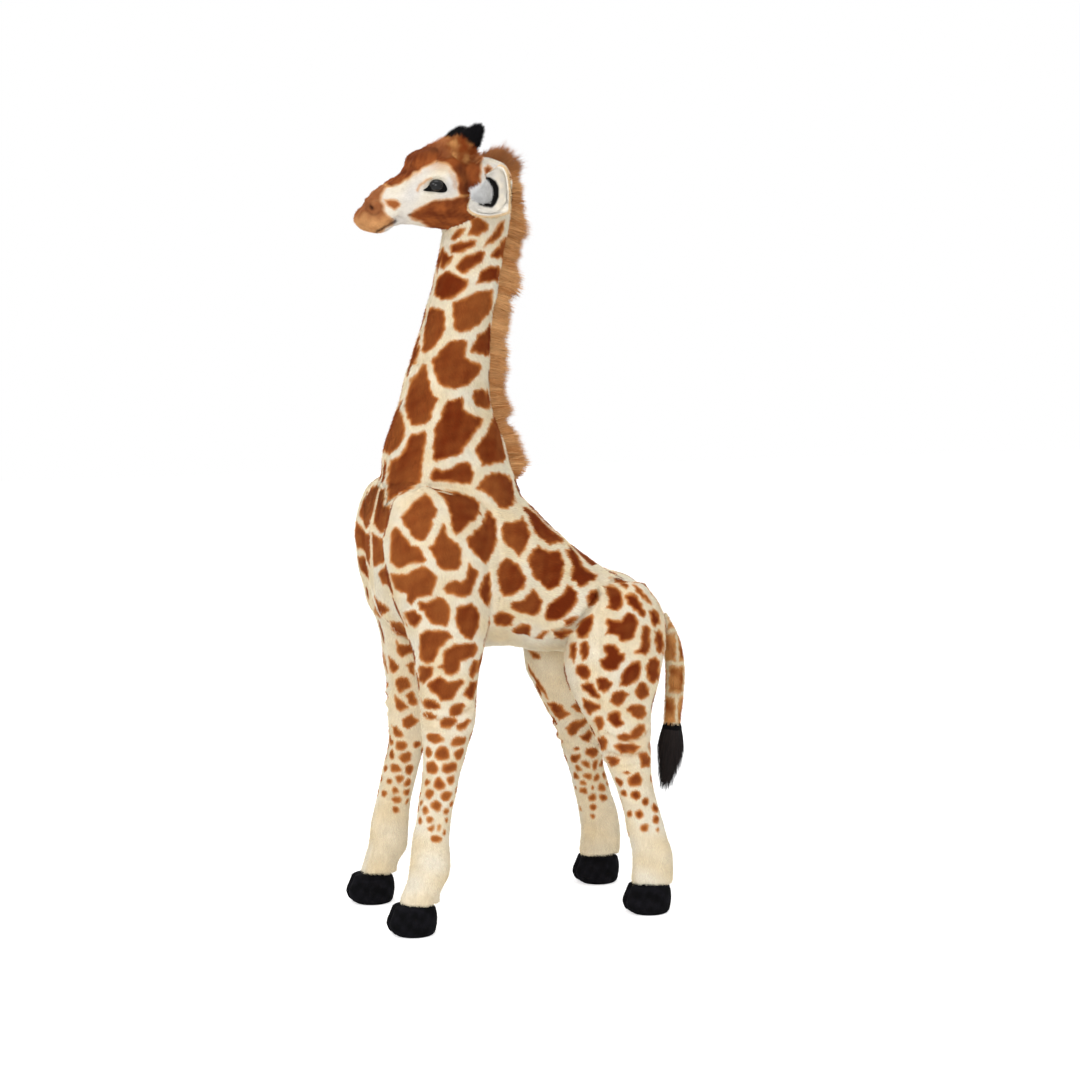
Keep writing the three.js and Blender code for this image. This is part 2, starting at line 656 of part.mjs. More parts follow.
function eyeBall(grow = 0) {
  const radius = EYE_DIAMETER / 2 + grow;
  const shank = EYE_SHANK_DIAMETER / 2 + grow;
  const foot = -EYE_SHANK_LENGTH - grow;
  const dome = Array.from({ length: EYE_RINGS }, (_, i) => (Math.PI / 2) * (i / EYE_RINGS));
  const arc = dome.map((angle) => [radius * Math.cos(angle), radius * Math.sin(angle)]);
  const profile = [[0, foot], [shank, foot], [shank, -grow], [radius, -grow], ...arc, [0, radius]];
  return turned(profile, eyeCentre, eyeOut);
}

function eyeWasher(grow = 0) {
  const radius = EYE_WASHER_DIAMETER / 2 + grow;
  const half = EYE_WASHER_THICKNESS / 2 + grow;
  const place = eyeCentre.clone().addScaledVector(eyeOut, -EYE_SHANK_LENGTH / 2);
  const profile = [[0, -half], [radius, -half], [radius, half], [0, half]];
  return turned(profile, place, eyeOut);
}

const eyeHole = eyeBall(SEAM_GAP);

// The rim is the part of a slightly larger head that lies inside an almond outline.
function eyeRim() {
  const almond = new THREE.Shape();
  const corner = -EYE_RIM_HEIGHT * EYE_CORNER_SHARE;
  almond.moveTo(-EYE_RIM_LENGTH / 2, corner);
  almond.quadraticCurveTo(0, EYE_RIM_HEIGHT, EYE_RIM_LENGTH / 2, corner);
  almond.quadraticCurveTo(0, -EYE_RIM_HEIGHT, -EYE_RIM_LENGTH / 2, corner);
  const options = { depth: 2 * EYE_SHANK_LENGTH, curveSegments: SMALL_SIDES / 2, bevelEnabled: false };
  const prism = new THREE.ExtrudeGeometry(almond, options);
  prism.translate(0, 0, -EYE_SHANK_LENGTH);
  const back = new THREE.Vector3(0, 1, 0).projectOnPlane(eyeOut).normalize();
  const up = eyeOut.clone().cross(back);
  prism.applyMatrix4(new THREE.Matrix4().makeBasis(back, up, eyeOut).setPosition(eyeCentre));
  const outer = stuffed(head, SEAM_GAP + EYE_RIM_THICKNESS);
  return cutBy(outer.intersect(solidOf(prism)), grownHead, eyeHole);
}

// Nostrils, as shallow dents in the muzzle
function nostrilDent() {
  const angle = (Math.PI / 2) * NOSTRIL_RISE_SHARE;
  const out = headNormal(HEAD_LENGTH - NOSTRIL_SETBACK, angle);
  const along = new THREE.Vector3(0, -1, 1).projectOnPlane(out).normalize();
  const across = along.clone().cross(out);
  const place = headPoint(HEAD_LENGTH - NOSTRIL_SETBACK, angle);
  const dent = new THREE.SphereGeometry(NOSTRIL_DEPTH, ROD_SIDES, EYE_RINGS);
  dent.scale(NOSTRIL_WIDTH / 2 / NOSTRIL_DEPTH, NOSTRIL_LENGTH / 2 / NOSTRIL_DEPTH, 1);
  dent.applyMatrix4(new THREE.Matrix4().makeBasis(across, along, out).setPosition(place));
  return solidOf(dent);
}

// Mane: a ridge of fur up the back of the neck and over the nape
function backOfNeck(share) {
  const { centre, halfDepth } = neckSection(rowAt(neckShares, share));
  return centre.add(new THREE.Vector3(0, halfDepth, 0));
}

function topOfHead(share) {
  const { centre, halfDepth } = headSection(rowAt(headShares, share));
  return centre.add(new THREE.Vector3(0, 0, halfDepth));
}

function mane() {
  const stops = [...maneNeckShares.map(backOfNeck), ...maneHeadShares.map(topOfHead)];
  const route = new THREE.CatmullRomCurve3(stops, false, "centripetal");
  const locks = Math.round(route.getLength() / MANE_LOCK_LENGTH);
  const count = locks * MANE_LOCK_RINGS;
  const rings = Array.from({ length: count + 1 }, (_, i) => {
    const place = route.getPointAt(i / count);
    const ahead = route.getTangentAt(i / count);
    const out = new THREE.Vector3(0, ahead.z, -ahead.y);
    const wave = MANE_WAVE * Math.cos((Math.PI * 2 * i) / MANE_LOCK_RINGS);
    const end = Math.min(1, MANE_END_SHARE + Math.sin((Math.PI * i) / count) / (1 - MANE_END_SHARE));
    const height = (MANE_HEIGHT + wave) * end;
    const rise = (share) => -MANE_ROOT + (height + MANE_ROOT) * share;
    const half = (share) => (MANE_THICKNESS / 2) * share;
    return maneSectionShares.map(([x, up]) => place.clone().addScaledVector(out, rise(up)).setX(half(x)));
  });
  return cutBy(loft(rings), grownNeck, grownHead, grownTorso);
}

// Tail and tuft, each hung from a ball-ended root
const rump = torso[torso.length - 1].centre;
const tailRoot = rump.clone().add(new THREE.Vector3(0, TAIL_ROOT_DIAMETER / 2 + SWING_GAP, TAIL_ROOT_RISE));
const tailEndShare = tailShares[tailShares.length - 1][2];
const tailEnd = tailRoot.clone().add(new THREE.Vector3(0, TAIL_BULGE * tailEndShare, -TAIL_LENGTH));
const tuftRoot = tailEnd.clone().add(new THREE.Vector3(0, 0, -TUFT_ROOT_DIAMETER / 2 - SWING_GAP));

// Rings of a round hanging piece, under the top of a ball at its root.
function hanging(root, rootDiameter, rows, { diameter, length, offset }) {
  const ball = ballShares.map((share) => (Math.PI / 2) * share);
  const dome = ball.map((angle) => ({
    centre: root.clone().add(new THREE.Vector3(0, 0, (rootDiameter / 2) * Math.cos(angle))),
    halfWidth: (rootDiameter / 2) * Math.sin(angle),
  }));
  const below = rows.map(([along, wide, out]) => ({
    centre: root.clone().add(new THREE.Vector3(0, offset * out, -length * along)),
    halfWidth: (diameter / 2) * wide,
  }));
  const round = (one) => section({ ...one, halfDepth: one.halfWidth, boxiness: 2 }, SMALL_SIDES);
  return loft([...dome, ...below].map(round));
}

const tail = hanging(tailRoot, TAIL_ROOT_DIAMETER, tailShares, {
  diameter: TAIL_DIAMETER,
  length: TAIL_LENGTH,
  offset: TAIL_BULGE,
});
const tuft = hanging(tuftRoot, TUFT_ROOT_DIAMETER, tuftShares, {
  diameter: TUFT_DIAMETER,
  length: TUFT_LENGTH,
  offset: -TUFT_LEAN,
});

// Materials
function material(color, roughness, metalness = 0) {
  return new THREE.MeshStandardMaterial({ color, roughness, metalness });
}

const printedPlush = material(0xc98a4e, 0.95);
const brownPlush = material(0x9a5a2c, 0.95);
const blackPlush = material(0x17161a, 0.9);
const creamPlush = material(0xeadcb8, 0.95);
const brownFur = material(0xb07a49, 0.95);
const blackFur = material(0x1b1718, 0.85);
const whiteFur = material(0xdfdfe3, 0.95);
const stuffing = material(0xf2f2ee, 1);
const steel = material(0x8d9196, 0.4, 0.9);
const board = material(0xb99b6b, 0.8);
const glossBlack = material(0x0b0a0c, 0.1);
const dullBlack = material(0x141316, 0.8);
const clearPlastic = material(0xd8dade, 0.5);

// Assembly
const giraffe = new THREE.Group();
const bodies = {};
for (const name of ["body", "ear_left", "ear_right", "tail", "tail_tuft"]) {
  bodies[name] = new THREE.Group();
  giraffe.add(bodies[name]);
}

function add(body, name, solid, look) {
  const mesh = new THREE.Mesh(geometryOf(solid.asOriginal().simplify(LEAST_EDGE)), look);
  mesh.name = name;
  bodies[body].add(mesh);
  return mesh;
}

// A left piece and its mirror image on the right.
function addPair(name, solid, look, bodyOf = () => "body") {
  add(bodyOf("left"), `${name}_left`, solid, look);
  add(bodyOf("right"), `${name}_right`, solid, look).scale.x = -1;
}

// A sewn skin with an open inside, and the filling that lies in it.
function skinOf(sections, ...cuts) {
  return cutBy(stuffed(sections), stuffed(sections, -SKIN, LINING_SIDES), ...cuts);
}

function fillingOf(sections, ...cuts) {
  return cutBy(stuffed(sections, -SKIN - SEAM_GAP, LINING_SIDES), ...cuts);
}

add("body", "torso_skin", skinOf(torso, torsoHoles), printedPlush);
add("body", "torso_filling", fillingOf(torso, torsoHoles), stuffing);
add("body", "neck_skin", skinOf(neck, grownTorso, neckHole), printedPlush);
add("body", "neck_filling", fillingOf(neck, grownTorso, neckHole), stuffing);
const headCuts = [grownNeck, neckHole, bothSides(earGroove), bothSides(eyeHole)];
add("body", "head_skin", skinOf(head, ...headCuts, bothSides(nostrilDent())), printedPlush);
add("body", "head_filling", fillingOf(head, ...headCuts, bothSides(eyeWasher(SEAM_GAP))), stuffing);

const legs = [
  { end: "front", sections: frontLeg, rodPoints: frontRodPoints, toeReach: FRONT_HOOF_TOE },
  { end: "rear", sections: rearLeg, rodPoints: rearRodPoints, toeReach: REAR_HOOF_TOE },
];
for (const { end, sections, rodPoints, toeReach } of legs) {
  const legCuts = [grownTorso, grownNeck, rodHole(rodPoints), barHoles];
  const hooves = hoofSections(sections[sections.length - 1].centre, toeReach);
  const hoofSolid = loft(hooves.map((one) => section(one, HOOF_SIDES)));
  addPair(`${end}_leg_skin`, skinOf(sections, ...legCuts), printedPlush);
  addPair(`${end}_leg_filling`, fillingOf(sections, ...legCuts), stuffing);
  addPair(`${end}_hoof`, cutBy(hoofSolid, footPlate(hooves, SEAM_GAP), rodHole(rodPoints)), blackPlush);
  addPair(`${end}_foot_plate`, footPlate(hooves), board);
  addPair(`${end}_leg_rod`, cutBy(rod(rodPoints, ROD_DIAMETER), bars), steel);
}
add("body", "shoulder_bar", bar(shoulderBarPoints), steel);
add("body", "hip_bar", bar(hipBarPoints), steel);
add("body", "spine_rod", cutBy(rod(spinePoints, ROD_DIAMETER), bars), steel);
add("body", "neck_rod", neckRod, steel);

addPair("horn_stalk", stalk, brownPlush);
addPair("horn_tip", horn, blackPlush);
addPair("eye", eyeBall(), glossBlack);
addPair("eye_rim", eyeRim(), dullBlack);
addPair("eye_washer", cutBy(eyeWasher(), eyeHole), clearPlastic);
const onEar = (side) => `ear_${side}`;
addPair("ear_back", earBack, printedPlush, onEar);
addPair("ear_lining", earLining, creamPlush, onEar);
addPair("ear_fluff", earFluff(), whiteFur, onEar);
add("body", "mane", mane(), brownFur);
add("tail", "tail", tail, printedPlush);
add("tail_tuft", "tail_tuft", tuft, blackFur);

// The origin lies on the floor under the middle of the whole toy.
const bounds = new THREE.Box3().setFromObject(giraffe);
giraffe.position.set(0, -(bounds.min.y + bounds.max.y) / 2, -bounds.min.z);

export default giraffe;
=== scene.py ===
import math
import bpy
import numpy as np
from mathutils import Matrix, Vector
from mathutils.bvhtree import BVHTree


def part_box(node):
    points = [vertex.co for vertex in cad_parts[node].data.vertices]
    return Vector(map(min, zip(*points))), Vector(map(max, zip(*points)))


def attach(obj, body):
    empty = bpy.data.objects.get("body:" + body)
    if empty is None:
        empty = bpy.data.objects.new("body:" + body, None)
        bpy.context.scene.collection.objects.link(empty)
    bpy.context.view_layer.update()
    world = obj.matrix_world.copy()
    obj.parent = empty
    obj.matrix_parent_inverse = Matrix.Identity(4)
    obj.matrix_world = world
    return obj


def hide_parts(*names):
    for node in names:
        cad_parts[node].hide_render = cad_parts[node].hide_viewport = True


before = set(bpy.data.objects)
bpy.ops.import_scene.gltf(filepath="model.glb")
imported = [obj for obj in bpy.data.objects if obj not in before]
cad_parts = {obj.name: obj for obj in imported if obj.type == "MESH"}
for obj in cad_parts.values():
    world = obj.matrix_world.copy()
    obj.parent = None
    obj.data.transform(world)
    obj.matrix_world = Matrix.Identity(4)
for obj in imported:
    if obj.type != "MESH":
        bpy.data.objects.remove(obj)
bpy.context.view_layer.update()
rng = np.random.default_rng(11)

# The camera, fitted to the hooves and the head of the photograph
AZIMUTH = math.radians(69.4)
ELEVATION = math.radians(6.2)
DISTANCE = 4.5
FOCAL_PX = 2605.0
HALF_PX = 540.0


def middle(node):
    low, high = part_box(node)
    return (low + high) / 2


feet_y = (middle("front_hoof_left").y + middle("rear_hoof_left").y) / 2
TARGET = np.array([0.0, feet_y + 0.058, 0.641])
BACK = np.array([
    math.sin(AZIMUTH) * math.cos(ELEVATION),
    -math.cos(AZIMUTH) * math.cos(ELEVATION),
    math.sin(ELEVATION),
])
RIGHT = np.array([math.cos(AZIMUTH), math.sin(AZIMUTH), 0.0])
UP = np.cross(BACK, RIGHT)
VIEWER = TARGET + DISTANCE * BACK


def to_picture(points):
    """Where points fall in the 1080 pixel picture, from the photograph's place."""
    away = np.asarray(points, float) - VIEWER
    depth = -(away @ BACK)
    right = FOCAL_PX * (away @ RIGHT) / depth
    up = FOCAL_PX * (away @ UP) / depth
    return np.stack([HALF_PX + right, HALF_PX - up], -1)


def ray_of(u, v):
    ray = -BACK + RIGHT * (u - HALF_PX) / FOCAL_PX + UP * (HALF_PX - v) / FOCAL_PX
    return ray / np.linalg.norm(ray)


# Sections of the stuffed parts, as in the part: along, width, depth or height, then what moves the centre
FRONT_LEG = [
    (1.0, 0.41, 0.46, 0.15, 0.0), (0.94, 0.85, 0.87, 0.23, 0.03), (0.83, 1.0, 1.0, 0.26, 0.04),
    (0.73, 0.97, 0.95, 0.11, 0.11), (0.64, 0.88, 0.75, 0.0, 0.22), (0.54, 0.78, 0.59, 0.03, 0.33),
    (0.43, 0.65, 0.49, 0.09, 0.45), (0.34, 0.54, 0.38, 0.23, 0.58), (0.24, 0.48, 0.34, 0.47, 0.72),
    (0.14, 0.48, 0.35, 0.63, 0.83), (0.07, 0.53, 0.38, 0.74, 0.92), (0.0, 0.5, 0.39, 1.0, 1.0),
]
REAR_LEG = [
    (1.0, 0.44, 0.5, 0.33, 0.0), (0.92, 0.78, 0.82, 0.18, 0.17), (0.81, 1.0, 1.0, 0.04, 0.36),
    (0.69, 1.0, 0.92, 0.02, 0.5), (0.57, 0.87, 0.71, 0.0, 0.61), (0.48, 0.74, 0.54, 0.18, 0.72),
    (0.35, 0.61, 0.4, 0.41, 0.83), (0.2, 0.57, 0.4, 0.8, 0.94), (0.1, 0.61, 0.42, 1.04, 1.0),
    (0.0, 0.59, 0.42, 1.0, 1.0),
]
TORSO = [
    (0.0, 0.17, 0.2, -0.12), (0.019, 0.53, 0.56, -0.09), (0.069, 0.81, 0.85, -0.05),
    (0.172, 0.97, 0.99, 0.0), (0.303, 1.0, 1.0, 0.12), (0.434, 0.99, 0.89, 0.25),
    (0.566, 0.96, 0.76, 0.52), (0.678, 0.93, 0.59, 0.75), (0.781, 0.9, 0.46, 0.93),
    (0.893, 0.8, 0.37, 1.0), (0.963, 0.53, 0.24, 1.07), (1.0, 0.19, 0.1, 1.11),
]
NECK = [
    (0.0, 0.92, 0.82, -0.17), (0.072, 1.0, 1.0, -0.03), (0.144, 0.89, 0.93, 0.02),
    (0.254, 0.755, 0.85, 0.02), (0.409, 0.63, 0.62, 0.0), (0.591, 0.53, 0.495, 0.275),
    (0.773, 0.48, 0.46, 0.61), (0.93, 0.47, 0.44, 0.91), (1.0, 0.47, 0.44, 1.0),
]
HEAD = [
    (0.0, 0.3, 0.2, -0.03), (0.036, 0.6, 0.43, -0.02), (0.124, 0.83, 0.67, 0.07), (0.248, 0.97, 0.85, 0.17),
    (0.328, 1.0, 0.95, 0.15), (0.438, 1.0, 1.0, 0.09), (0.547, 0.92, 0.95, 0.1), (0.62, 0.82, 0.83, 0.19),
    (0.693, 0.7, 0.65, 0.39), (0.766, 0.59, 0.54, 0.55), (0.839, 0.55, 0.53, 0.78),
    (0.901, 0.52, 0.44, 0.87), (0.955, 0.4, 0.29, 0.97), (1.0, 0.16, 0.1, 1.02),
]
HOOF = [(1.0, 0.84, 0.8, 0.0), (0.72, 0.96, 0.94, 0.66), (0.28, 1.0, 1.0, 1.0), (0.08, 0.96, 0.96, 1.0),
        (0.0, 0.88, 0.9, 1.0)]
TAIL = [(0.0, 0.52, 0.0), (0.11, 0.8, 0.32), (0.3, 0.97, 0.75), (0.5, 1.0, 1.0), (0.76, 0.95, 0.92),
        (1.0, 0.85, 0.7)]
EAR_WIDE_ROWS = [(0.0, 0.4), (0.15, 0.62), (0.4, 0.97), (0.6, 1.0), (0.8, 0.76), (0.93, 0.44), (1.0, 0.14)]
# The sizes that the sections are shares of, in millimetres
HOOF_TOP, FRONT_LEG_LONG, REAR_LEG_LONG = 52, 683, 518
KNEE_Y, THIGH_Y, FOOT_X = -150, 150, 119
SHOULDER_Z, HIP_Z = HOOF_TOP + FRONT_LEG_LONG - 109, HOOF_TOP + REAR_LEG_LONG - 65
CHEST_Y, TORSO_LONG, TORSO_WIDE, TORSO_TALL = KNEE_Y - 109, 536, 236, 300
NECK_Y, NECK_Z, NECK_LEAN, NECK_LONG = KNEE_Y + 25, SHOULDER_Z + 34, 60, 555
NECK_WIDE, NECK_DEEP = 196, 244
NAPE_Y, SKULL_Z = NECK_Y + NECK_LEAN + 53, NECK_Z + NECK_LONG + 35
HEAD_LONG, HEAD_WIDE, HEAD_TALL, HEAD_DROP = 269, 132, 141, 60
# Of each leg: how far out its top lies, where it starts along the body, its lean and its length
LEGS = {"front": (83, KNEE_Y, -68, FRONT_LEG_LONG), "rear": (84, THIGH_Y, 54, REAR_LEG_LONG)}
SIDES = (("left", 1), ("right", -1))
SHIFT_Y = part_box("torso_skin")[0].y * 1000 - CHEST_Y
INSET, HEAD_INSET = 1.4, 1.6


def resampled(rows, at):
    """Rows on a smooth curve through the given ones, at the places given."""
    table = np.array(sorted(rows), float)
    x = table[:, 0]
    slopes = np.gradient(table, x, axis=0)
    at = np.atleast_1d(np.asarray(at, float))
    i = np.clip(np.searchsorted(x, at) - 1, 0, len(x) - 2)
    h = (x[i + 1] - x[i])[:, None]
    t = ((at - x[i]) / (x[i + 1] - x[i]))[:, None]
    a, b = table[i], table[i + 1]
    return (
        (2 * t**3 - 3 * t**2 + 1) * a + (t**3 - 2 * t**2 + t) * h * slopes[i]
        + (3 * t**2 - 2 * t**3) * b + (t**3 - t**2) * h * slopes[i + 1]
    )


def rings_of(centres, half_x, half_d, upright, sides, boxiness=2.15):
    angle = np.arange(sides) / sides * 2 * np.pi
    across = np.sign(np.cos(angle)) * np.abs(np.cos(angle)) ** (2 / boxiness)
    deep = np.sign(np.sin(angle)) * np.abs(np.sin(angle)) ** (2 / boxiness)
    rings = np.repeat(centres[:, None, :], sides, axis=1).astype(float)
    rings[:, :, 0] += half_x[:, None] * across
    rings[:, :, 2 if upright else 1] += half_d[:, None] * deep
    return rings


def tube(rings):
    """Vertices and faces of a closed tube over rings, each end closed on its centre."""
    count, sides = rings.shape[:2]
    ring = np.arange(count - 1)[:, None] * sides
    side = np.arange(sides)[None, :]
    after = (side + 1) % sides
    corners = [ring + side, ring + after, ring + sides + after, ring + sides + side]
    quads = np.stack(corners, -1).reshape(-1, 4)
    verts = np.concatenate([rings.reshape(-1, 3), [rings[0].mean(0)], [rings[-1].mean(0)]])
    first, last = count * sides, count * sides + 1
    end = (count - 1) * sides
    fans = np.concatenate([
        np.stack([np.full(sides, first), after[0], side[0]], -1),
        np.stack([np.full(sides, last), end + side[0], end + after[0]], -1),
    ])
    return verts, [quads, fans]


def placed(points):
    """Section millimetres to metres in the part's frame."""
    points = np.array(points, float)
    points[..., 1] += SHIFT_Y
    return points / 1000


def stuffed(rows, centre, width, depth, upright=False, count=70, sides=56, inset=INSET):
    table = resampled(rows, np.linspace(0, 1, count))
    centres = np.array([centre(row) for row in table])
    half_x = np.maximum(width / 2 * table[:, 1] - inset, 2)
    half_d = np.maximum(depth / 2 * table[:, 2] - inset, 2)
    verts, faces = tube(rings_of(centres, half_x, half_d, upright, sides))
    return placed(verts), faces


def lerp(a, b, t):
    return a + (b - a) * t


def torso_centre(row):
    return (0, CHEST_Y + TORSO_LONG * row[0], lerp(SHOULDER_Z, HIP_Z, row[3]))


def neck_centre(row):
    return (0, NECK_Y + NECK_LEAN * row[3], NECK_Z + NECK_LONG * row[0])


def head_centre(row):
    return (0, NAPE_Y - HEAD_LONG * row[0], SKULL_Z - HEAD_DROP * row[3])


def leg_centre(side, end):
    top, y, lean, length = LEGS[end]
    return lambda row: (side * lerp(top, FOOT_X, row[4]), y + lean * row[3], HOOF_TOP + length * row[0])


LOFTS = {
    "torso": stuffed(TORSO, torso_centre, TORSO_WIDE, TORSO_TALL, upright=True, count=90),
    "neck": stuffed(NECK, neck_centre, NECK_WIDE, NECK_DEEP, count=90),
    "head": stuffed(HEAD, head_centre, HEAD_WIDE, HEAD_TALL, upright=True, count=110, inset=HEAD_INSET),
}
for side_name, side in SIDES:
    LOFTS[f"front_leg_{side_name}"] = stuffed(FRONT_LEG, leg_centre(side, "front"), 122, 180, count=100)
    LOFTS[f"rear_leg_{side_name}"] = stuffed(REAR_LEG, leg_centre(side, "rear"), 108, 174, count=90)
LABELS = list(LOFTS)


def is_part(labels, *names):
    return np.isin(labels, [LABELS.index(name) for name in names])


def mirror(points):
    """Points of the right side brought over to the left."""
    return np.column_stack([np.abs(points[:, 0]), points[:, 1:]])


# Meshes as arrays
def mesh_of(name, verts, faces):
    faces = [np.asarray(f, np.int32) for f in faces if len(f)]
    loops = np.concatenate([f.ravel() for f in faces])
    sizes = np.concatenate([np.full(len(f), f.shape[1], np.int32) for f in faces])
    starts = np.concatenate([[0], np.cumsum(sizes)[:-1]]).astype(np.int32)
    mesh = bpy.data.meshes.new(name)
    mesh.vertices.add(len(verts))
    mesh.vertices.foreach_set("co", np.asarray(verts, np.float32).ravel())
    mesh.loops.add(len(loops))
    mesh.loops.foreach_set("vertex_index", loops)
    mesh.polygons.add(len(sizes))
    mesh.polygons.foreach_set("loop_start", starts)
    mesh.update(calc_edges=True)
    mesh.validate()
    mesh.shade_smooth()
    return mesh


def object_of(name, mesh):
    made = bpy.data.objects.new(name, mesh)
    bpy.context.scene.collection.objects.link(made)
    return made


def places(mesh):
    out = np.empty(len(mesh.vertices) * 3, np.float32)
    mesh.vertices.foreach_get("co", out)
    return out.reshape(-1, 3).astype(float)


def quads_of(mesh):
    """Faces as quads; a triangle repeats its last corner."""
    starts = np.empty(len(mesh.polygons), np.int32)
    sizes = np.empty(len(mesh.polygons), np.int32)
    loops = np.empty(len(mesh.loops), np.int32)
    mesh.polygons.foreach_get("loop_start", starts)
    mesh.polygons.foreach_get("loop_total", sizes)
    mesh.loops.foreach_get("vertex_index", loops)
    corner = np.minimum(np.arange(4)[None, :], (sizes - 1)[:, None])
    return loops[starts[:, None] + corner]


def edges_of(mesh):
    out = np.empty(len(mesh.edges) * 2, np.int32)
    mesh.edges.foreach_get("vertices", out)
    return out.reshape(-1, 2)


def unit(v):
    return v / np.maximum(np.linalg.norm(v, axis=-1, keepdims=True), 1e-12)


def scattered_sum(index, values, count):
    return np.stack([np.bincount(index, values[:, k], count) for k in range(values.shape[1])], -1)


def normals_of(verts, quads):
    face = np.cross(verts[quads[:, 2]] - verts[quads[:, 0]], verts[quads[:, 3]] - verts[quads[:, 1]])
    return unit(sum(scattered_sum(quads[:, k], face, len(verts)) for k in range(4)))


def smoothed(verts, edges, weight, times):
    a, b = edges[:, 0], edges[:, 1]
    degree = np.bincount(a, minlength=len(verts)) + np.bincount(b, minlength=len(verts))
    for _ in range(times):
        total = scattered_sum(a, verts[b], len(verts)) + scattered_sum(b, verts[a], len(verts))
        verts = verts + weight[:, None] * (total / np.maximum(degree, 1)[:, None] - verts)
    return verts


def wobble(points, size, seed):
    """Smooth noise of about one unit, from waves of that size in metres."""
    local = np.random.default_rng(seed)
    total = np.zeros(len(points))
    for _ in range(5):
        wave = unit(local.normal(size=3)) * 2 * np.pi / size * local.uniform(0.6, 1.4)
        total += np.sin(points @ wave + local.uniform(0, 2 * np.pi))
    return total / 2.2


def wobble2(points, size, seed):
    return np.stack([wobble(points, size, seed), wobble(points, size, seed + 1)], -1)


def wobble3(points, size, seed):
    return np.stack([wobble(points, size, seed + k * 17) for k in range(3)], -1)


def step(low, high, x):
    t = np.clip((x - low) / (high - low), 0, 1)
    return t * t * (3 - 2 * t)


# One skin over torso, neck, head and legs, remeshed so that the sewn parts run into each other
VOXEL = 0.003


def fused():
    verts, quads, fans, offset = [], [], [], 0
    for v, (q, f) in LOFTS.values():
        verts.append(v)
        quads.append(q + offset)
        fans.append(f + offset)
        offset += len(v)
    faces = [np.concatenate(quads), np.concatenate(fans)]
    whole = object_of("whole", mesh_of("whole", np.concatenate(verts), faces))
    remesh = whole.modifiers.new("remesh", "REMESH")
    remesh.mode = "VOXEL"
    remesh.voxel_size = VOXEL
    remesh.adaptivity = 0
    made = bpy.data.meshes.new_from_object(whole.evaluated_get(bpy.context.evaluated_depsgraph_get()))
    bpy.data.objects.remove(whole)
    return made


skin = fused()
V = places(skin)
Q = quads_of(skin)
E = edges_of(skin)
# The part that each vertex belongs to is the loft that lies nearest, looked for within NEAR of it
NEAR, FAR_OFF, JUNCTION_WIDE = 0.02, 0.2, 0.011
near = np.full((len(LABELS), len(V)), FAR_OFF)
for row, name in enumerate(LABELS):
    loft_verts, loft_faces = LOFTS[name]
    tree = BVHTree.FromPolygons(loft_verts.tolist(), [f.tolist() for part in loft_faces for f in part])
    low, high = loft_verts.min(0) - NEAR, loft_verts.max(0) + NEAR
    for i in np.flatnonzero(((V > low) & (V < high)).all(1)):
        near[row, i] = tree.find_nearest(V[i])[3]
label = near.argmin(0)
junction = np.exp(-((np.sort(near, axis=0)[1] / JUNCTION_WIDE) ** 2))
V = smoothed(V, E, np.full(len(V), 0.5), 3)
V = smoothed(V, E, 0.5 * junction, 36)
N = normals_of(V, Q)
is_neck, is_torso, is_head = (is_part(label, name) for name in ("neck", "torso", "head"))
is_front_leg = is_part(label, "front_leg_left", "front_leg_right")
is_rear_leg = is_part(label, "rear_leg_left", "rear_leg_right")


def hump(x, low, high):
    """One half way between two values, fading to nothing at them and beyond."""
    return np.sin(np.pi * np.clip((x - low) / (high - low), 0, 1)) ** 2


def swell(points, centre, radius):
    return np.exp(-((np.linalg.norm(mirror(points) - centre, axis=1) / radius) ** 2))


# Where the stuffing pushes the skin out of its cut, read off the outline: place, radius and height in metres
SWELLS = [
    ([0.085, -0.235, 0.755], 0.045, 0.011),
    ([0.095, -0.245, 0.7], 0.042, 0.012),
    ([0.09, -0.25, 0.74], 0.03, 0.011),
    ([0.0, 0.01, 0.722], 0.034, 0.012),
    ([0.1, -0.22, 0.765], 0.03, 0.006),
    ([0.085, -0.245, 0.73], 0.028, 0.006),
    ([0.0, -0.014, 0.737], 0.03, 0.012),
]
# The same on a whole part: which part, the way its skin faces, height in metres, and from where to where
BULGES = [
    (is_neck, [0, -1, 0], 0.0045, 0.66, 1.15),
    (is_front_leg, [0, 1, 0], -0.008, 0.36, 0.56),
    (is_front_leg, [0, 1, 0], -0.0075, 0.04, 0.1),
    (is_front_leg, [0, 1, 0], 0.0015, 0.06, 0.3),
    (is_rear_leg, [0, -1, 0], 0.014, 0.33, 0.52),
    (is_rear_leg, None, -0.0015, 0.05, 0.32),
    (is_rear_leg, [0, 1, 0], -0.006, 0.3, 0.5),
]
FRONT_FOOT_SHIFT, REAR_FOOT_SHIFT = 0.004, 0.0015
z = V[:, 2]
push = np.zeros(len(V))
for place, radius, height in SWELLS:
    push += height * swell(V, place, radius)
for part, way, height, low, high in BULGES:
    share = 1.0 if way is None else np.clip(N @ way, 0, 1)
    push += np.where(part, height * share * hump(z, low, high), 0)
push -= 0.007 * np.clip(N[:, 1], 0, 1) * swell(V, [0.0, 0.25, 0.53], 0.09)
push += np.where(is_torso, 0.008 * np.clip(N[:, 2], 0, 1) * hump(V[:, 1], 0.04, 0.25), 0)
V = V + N * push[:, None]
V[:, 1] += np.where(is_front_leg, FRONT_FOOT_SHIFT, REAR_FOOT_SHIFT * is_rear_leg) * step(0.17, 0.07, z)
V = smoothed(V, E, np.full(len(V), 0.4), 2)
N = normals_of(V, Q)
surface = BVHTree.FromPolygons(V.tolist(), Q.tolist())


def hit(u, v):
    """The first point of the skin behind a place in the picture, or None."""
    found = surface.ray_cast(Vector(VIEWER), Vector(ray_of(u, v)))[0]
    return None if found is None else np.array(found)


